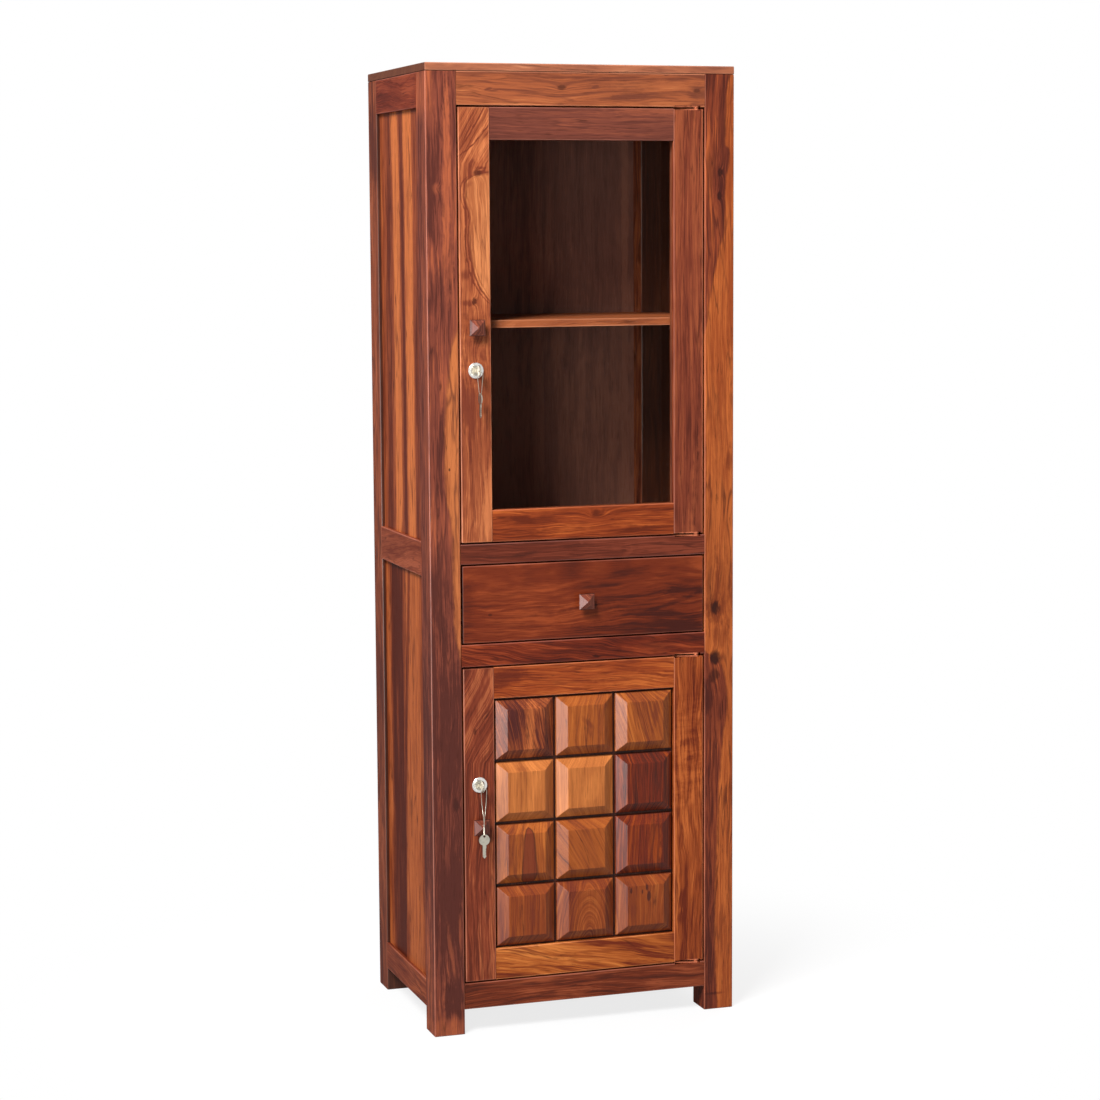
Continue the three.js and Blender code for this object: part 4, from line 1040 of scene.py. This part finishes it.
plum = ((72, 22, 15), (126, 56, 26), (183, 98, 50))
brown = ((116, 50, 22), (155, 78, 28), (185, 102, 42))
golden = ((150, 80, 36), (183, 105, 50), (214, 129, 65))
russet = ((70, 20, 4), (106, 32, 6), (145, 60, 12))
chestnut = ((100, 36, 17), (135, 60, 19), (166, 87, 36))
heart_tongue = [(-66, -5), (-58, 8), (-46, 14), (0, 12), (34, 9), (45, 5), (50, -1), (60, -9)]
block_figures = [
    [
        (
            plum,
            dict(
                pith=(90, 50),
                turn=0.22,
                patches=[(8, -2, 10, 60, 0.3, 0.8), (-22, 20, 20, 40, 0.2, -0.5)],
            ),
        ),
        (
            brown,
            dict(
                pith=(-90, 70),
                contrast=0.6,
                knots=[(6, 10, 4, 5, 1.5, 0.4)],
                patches=[(2, 6, 8, 14, -0.8, -0.5)],
            ),
        ),
        (brown, dict(pith=(90, 50), turn=0.25, ring=13, patches=[(24, 10, 8, 34, 0.4, -0.5)])),
    ],
    [
        (
            golden,
            dict(pith=(120, 90), contrast=0.8, ink=0.1, patches=[(-8, 44, 12, 5, 0, -0.6)]),
        ),
        (
            golden,
            dict(pith=(-120, 90), contrast=0.7, ink=0.1, patches=[(14, 0, 20, 40, 0.5, 0.3)]),
        ),
        (russet, dict(pith=(90, 50), ring=11, wander=24)),
    ],
    [
        (
            brown,
            dict(
                pith=(-90, 60),
                contrast=0.8,
                patches=[(-30, 0, 24, 60, 0, -0.3)],
                tongue=(5, heart_tongue),
            ),
        ),
        (brown, dict(pith=(90, 60), turn=0.5, ring=13, wander=30, contrast=0.6)),
        (russet, dict(pith=(-80, 50), ring=12, patches=[(20, 0, 14, 60, 0, 0.5)])),
    ],
    [
        (chestnut, dict(pith=(90, 70), ring=12, wander=30, contrast=0.7)),
        (chestnut, dict(pith=(-60, 20), wander=16, ring=11, swirl=5, arch=(5, -62, 0.36))),
        (
            chestnut,
            dict(
                pith=(90, 60),
                contrast=0.7,
                knots=[
                    (-30, 30, 3, 7, 1.0, 0.9),
                    (2, 36, 3, 8, 1.0, 0.9),
                    (7, 17, 5, 12, 1.0, 0.9),
                    (-7, 27, 2, 6, 1.0, 0.9),
                ],
            ),
        ),
    ],
]
for row, figures in enumerate(block_figures):
    for column, (palette, figure) in enumerate(figures):
        steps = np.array([column, block_counts[1] - 1 - row])
        corner = field_low + field_margin + (block_size + block_gap) * steps
        points, faces = block_surface(
            corner, corner + block_size, block_face, block_edge, block_back, block_bevel
        )
        name = f"block_{row + 1}_{column + 1}"
        seed = 50 + row * 7.3 + column * 3.1
        wood = rosewood(name, box_of(points), "z", palette, seed, shine=block_gloss, **figure)
        add_block_wood(name, points, faces, wood, block_ease)


def slab(low, high):
    """A plain board: the eight corners of a box, each a pick of its low and high sides."""
    x, y, z = np.meshgrid(*zip(low, high), indexing="ij")
    points = np.stack([x.ravel(), y.ravel(), z.ravel()], axis=1)
    faces = [[0, 1, 3, 2], [4, 6, 7, 5], [0, 4, 5, 1], [2, 3, 7, 6], [0, 2, 6, 4], [1, 5, 7, 3]]
    return points, faces


glue_gap = 0.1
backing_low, backing_high = corners("block_panel")
backing_low[1] = block_back + glue_gap
points, faces = slab(backing_low, backing_high)
backing_palette = ((38, 20, 14), (62, 30, 22), (88, 46, 32))
backing_wood = rosewood("block_backing", box_of(points), "z", backing_palette, 71.5)
add_block_wood("block_backing", points, faces, backing_wood, backing_ease)


# Drawer: a dark, plain front, dovetailed to sides of paler wood. Sides, back and the thin bottom
# in its grooves have no lacquer.

dress_board(
    "drawer_front",
    "x",
    ((62, 20, 11), (107, 40, 18), (146, 65, 32)),
    34.4,
    pith=(60, -90),
    ring=20,
    wander=80,
    swirl=14,
    contrast=0.8,
    ink=0.2,
    knots=[(-21, -188, 3, 5, 1.0, 0.6)],
    patches=[
        (8, 205, 14, 56, 0, -0.6),
        (-16, 176, 6, 76, 0.3, -0.5),
        (-60, 210, 12, 56, 0, -0.5),
        (-30, -20, 26, 110, 0, 0.3),
        (0, -240, 60, 26, 0, -0.3),
    ],
)
for board_name, grain, seed in (
    ("drawer_left_side", "y", 35.1),
    ("drawer_right_side", "y", 36.7),
    ("drawer_back", "x", 37.2),
    ("drawer_bottom", "x", 38.9),
):
    dress_board(
        board_name,
        grain,
        ((120, 76, 48), (168, 114, 74), (196, 144, 98)),
        seed,
        contrast=0.6,
        ink=0.15,
        shine=0.0,
        roughness=0.7,
    )


# Knobs: small pyramids of rosewood on a flared stem, with a dowel in the wood behind. Their
# lacquer is as glossy as that of the blocks.

for knob_name, seed in (
    ("upper_door_knob", 39.4),
    ("lower_door_knob", 40.3),
    ("drawer_knob", 41.8),
):
    dress_board(
        knob_name,
        "z",
        ((76, 32, 22), (118, 54, 37), (150, 80, 56)),
        seed,
        pith=(30, 30),
        ring=8,
        shine=block_gloss,
    )


# Pivot hinges: flat steel leaves let into the door and the rail, with a pin between them. They
# are bronzed nearly to the brown of the wood, and only their edges show in the gap.


def metal(name, colour, roughness, scratch, grime):
    """Plated or bare metal. Short noise varies the roughness, and slow noise adds dull spots."""
    finish = Finish(name)
    place = finish.place()
    fine = finish.noise(place["x"] * 0.9, place["y"] * 0.9, place["z"] * 0.9, 3.0, 0.6)
    slow = finish.noise(place["x"] * 0.12, place["y"] * 0.12, place["z"] * 0.12, 2.0, 0.5)
    dull = slow.rise(-0.05, 0.25) * grime
    bright = tone(*colour)
    tarnished = finish.mix(dull, bright, tuple(part * 0.45 for part in bright))
    finish.feed(finish.shader.inputs["Base Color"], tarnished)
    finish.shader.inputs["Metallic"].default_value = 1.0
    finish.feed(
        finish.shader.inputs["Roughness"], fine * scratch + dull * 0.2 + (roughness + scratch / 2)
    )
    finish.relief(fine, 0.00005, 0.3)
    return finish.material


hinge_steel = metal("hinge_steel", (168, 98, 70), 0.5, 0.2, 0.6)
for door in ("upper", "lower"):
    for end in ("top", "bottom"):
        dress(f"{door}_door_{end}_pivot_pin_leaf", hinge_steel)
        dress(f"{door}_door_{end}_pivot_door_leaf", hinge_steel)


# Locks and keys: a chrome flange with the plug in it, a key left in each lock, and the spare
# on a loop of thin wire.

lock_chrome = metal("lock_chrome", (222, 220, 216), 0.2, 0.12, 0.3)
key_nickel = metal("key_nickel", (178, 172, 158), 0.26, 0.16, 0.6)
for door in ("upper", "lower"):
    dress(f"{door}_lock_body", lock_chrome)
    dress(f"{door}_lock_plug", key_nickel)
    dress(f"{door}_spare_key", key_nickel)


# Where it stands: a plain pale floor that runs into a white room, three large soft lamps, a card
# that only gloss shows, and a camera at standing height, a little to the left.


def floor_surface(half):
    """A flat square: x and y are each minus or plus half, and z is 0."""
    points = np.array([[-half, -half, 0], [half, -half, 0], [half, half, 0], [-half, half, 0]])
    return points, [[0, 1, 2, 3]]


def seen_plainly(finish):
    """1 for the camera and for what gloss and glass show, 0 for light that falls on things."""
    rays = finish.node("ShaderNodeLightPath", {}, {})
    camera_ray, glossy_ray, through_ray = (
        Value(finish, rays.outputs[kind])
        for kind in ("Is Camera Ray", "Is Glossy Ray", "Is Transmission Ray")
    )
    return camera_ray.most(glossy_ray).most(through_ray)


def pale_floor():
    """A white floor that is lit and takes a faint shadow, and that glows enough where it is
    seen to run into the white room, close to the piece a little less than further out."""
    finish = Finish("pale_floor")
    spot = finish.place()
    seen = seen_plainly(finish)
    speck = finish.noise(spot["x"] * 0.002, spot["y"] * 0.002, 0.0)
    grey = speck * 0.02 + seen * 0.8 + 0.2
    part = finish.node("ShaderNodeCombineColor", {}, {"Red": grey, "Green": grey, "Blue": grey})
    colour = finish.mix(1.0, (0.9, 0.9, 0.9), part.outputs[0], "MULTIPLY")
    finish.feed(finish.shader.inputs["Base Color"], colour)
    finish.shader.inputs["Roughness"].default_value = 0.9
    finish.shader.inputs["Specular IOR Level"].default_value = 0.0
    away = ((spot["x"] ** 2 + spot["y"] ** 2) ** 0.5).rise(250, 1100)
    white = finish.node("ShaderNodeEmission", {}, {"Color": (1.0, 1.0, 1.0), "Strength": 1.0})
    blend = finish.node(
        "ShaderNodeMixShader",
        {},
        {0: (away * 0.2 + 0.8) * seen, 1: finish.shader.outputs[0], 2: white.outputs[0]},
    )
    finish.feed(finish.tree.nodes["Material Output"].inputs["Surface"], blend.outputs[0])
    return finish.material


floor_half = 40000.0
points, faces = floor_surface(floor_half)
add_mesh("floor", points, faces, pale_floor())


class Room(Finish):
    """The world's light, fed in the same way as a finish."""

    def __init__(self, name):
        self.world = bpy.data.worlds.new(name)
        self.world.use_nodes = True
        self.tree = self.world.node_tree
        self.light = self.tree.nodes["Background"]


scene = bpy.context.scene
room = Room("white_room")
room_light = 0.11
room.feed(room.light.inputs["Color"], (1.0, 1.0, 1.0))
room.feed(room.light.inputs["Strength"], seen_plainly(room) * (1.0 - room_light) + room_light)
scene.world = room.world


def add_lamp(name, place, target, size, watts, lights=True):
    """A soft rectangular lamp, unseen by the camera. Without lights, only gloss shows it."""
    light = bpy.data.lights.new(name, "AREA")
    light.shape = "RECTANGLE"
    light.size, light.size_y = size
    light.energy = watts
    lamp = bpy.data.objects.new(name, light)
    scene.collection.objects.link(lamp)
    lamp.location = place
    lamp.rotation_euler = (Vector(target) - Vector(place)).to_track_quat("-Z", "Y").to_euler()
    lamp.visible_camera = False
    lamp.visible_diffuse = lights


add_lamp("front_left_lamp", (-3.1, -4.6, 1.0), (0, -0.18, 0.8), (1.1, 2.0), 76)
add_lamp("high_left_lamp", (-3.2, -3.2, 5.0), (0, -0.18, 0.9), (2.2, 2.2), 588)
add_lamp("left_card", (-2.1, -2.6, 0.5), (0, -0.18, 0.5), (1.4, 1.0), 105, lights=False)
add_lamp("back_lamp", (3.6, 3.9, 2.8), (0, 0, 0.9), (2.6, 2.6), 230)

camera_place = (-1.678317, -5.008711, 1.521376)
yaw, pitch, roll = 0.322, 0.117, -0.006
reach = math.cos(pitch)
forward = Vector((math.sin(yaw) * reach, math.cos(yaw) * reach, -math.sin(pitch)))
level_right = Vector((math.cos(yaw), -math.sin(yaw), 0))
level_up = level_right.cross(forward)
right = level_right * math.cos(roll) + level_up * math.sin(roll)
up = level_up * math.cos(roll) - level_right * math.sin(roll)
camera_data = bpy.data.cameras.new("camera")
camera_data.sensor_fit = "HORIZONTAL"
camera_data.sensor_width = 36.0
camera_data.lens = 88.679
camera_data.clip_end = 100.0
camera = bpy.data.objects.new("camera", camera_data)
scene.collection.objects.link(camera)
turned = Matrix((right, up, -forward)).transposed().to_4x4()
camera.matrix_world = Matrix.Translation(camera_place) @ turned
scene.camera = camera

scene.view_settings.view_transform = "Standard"
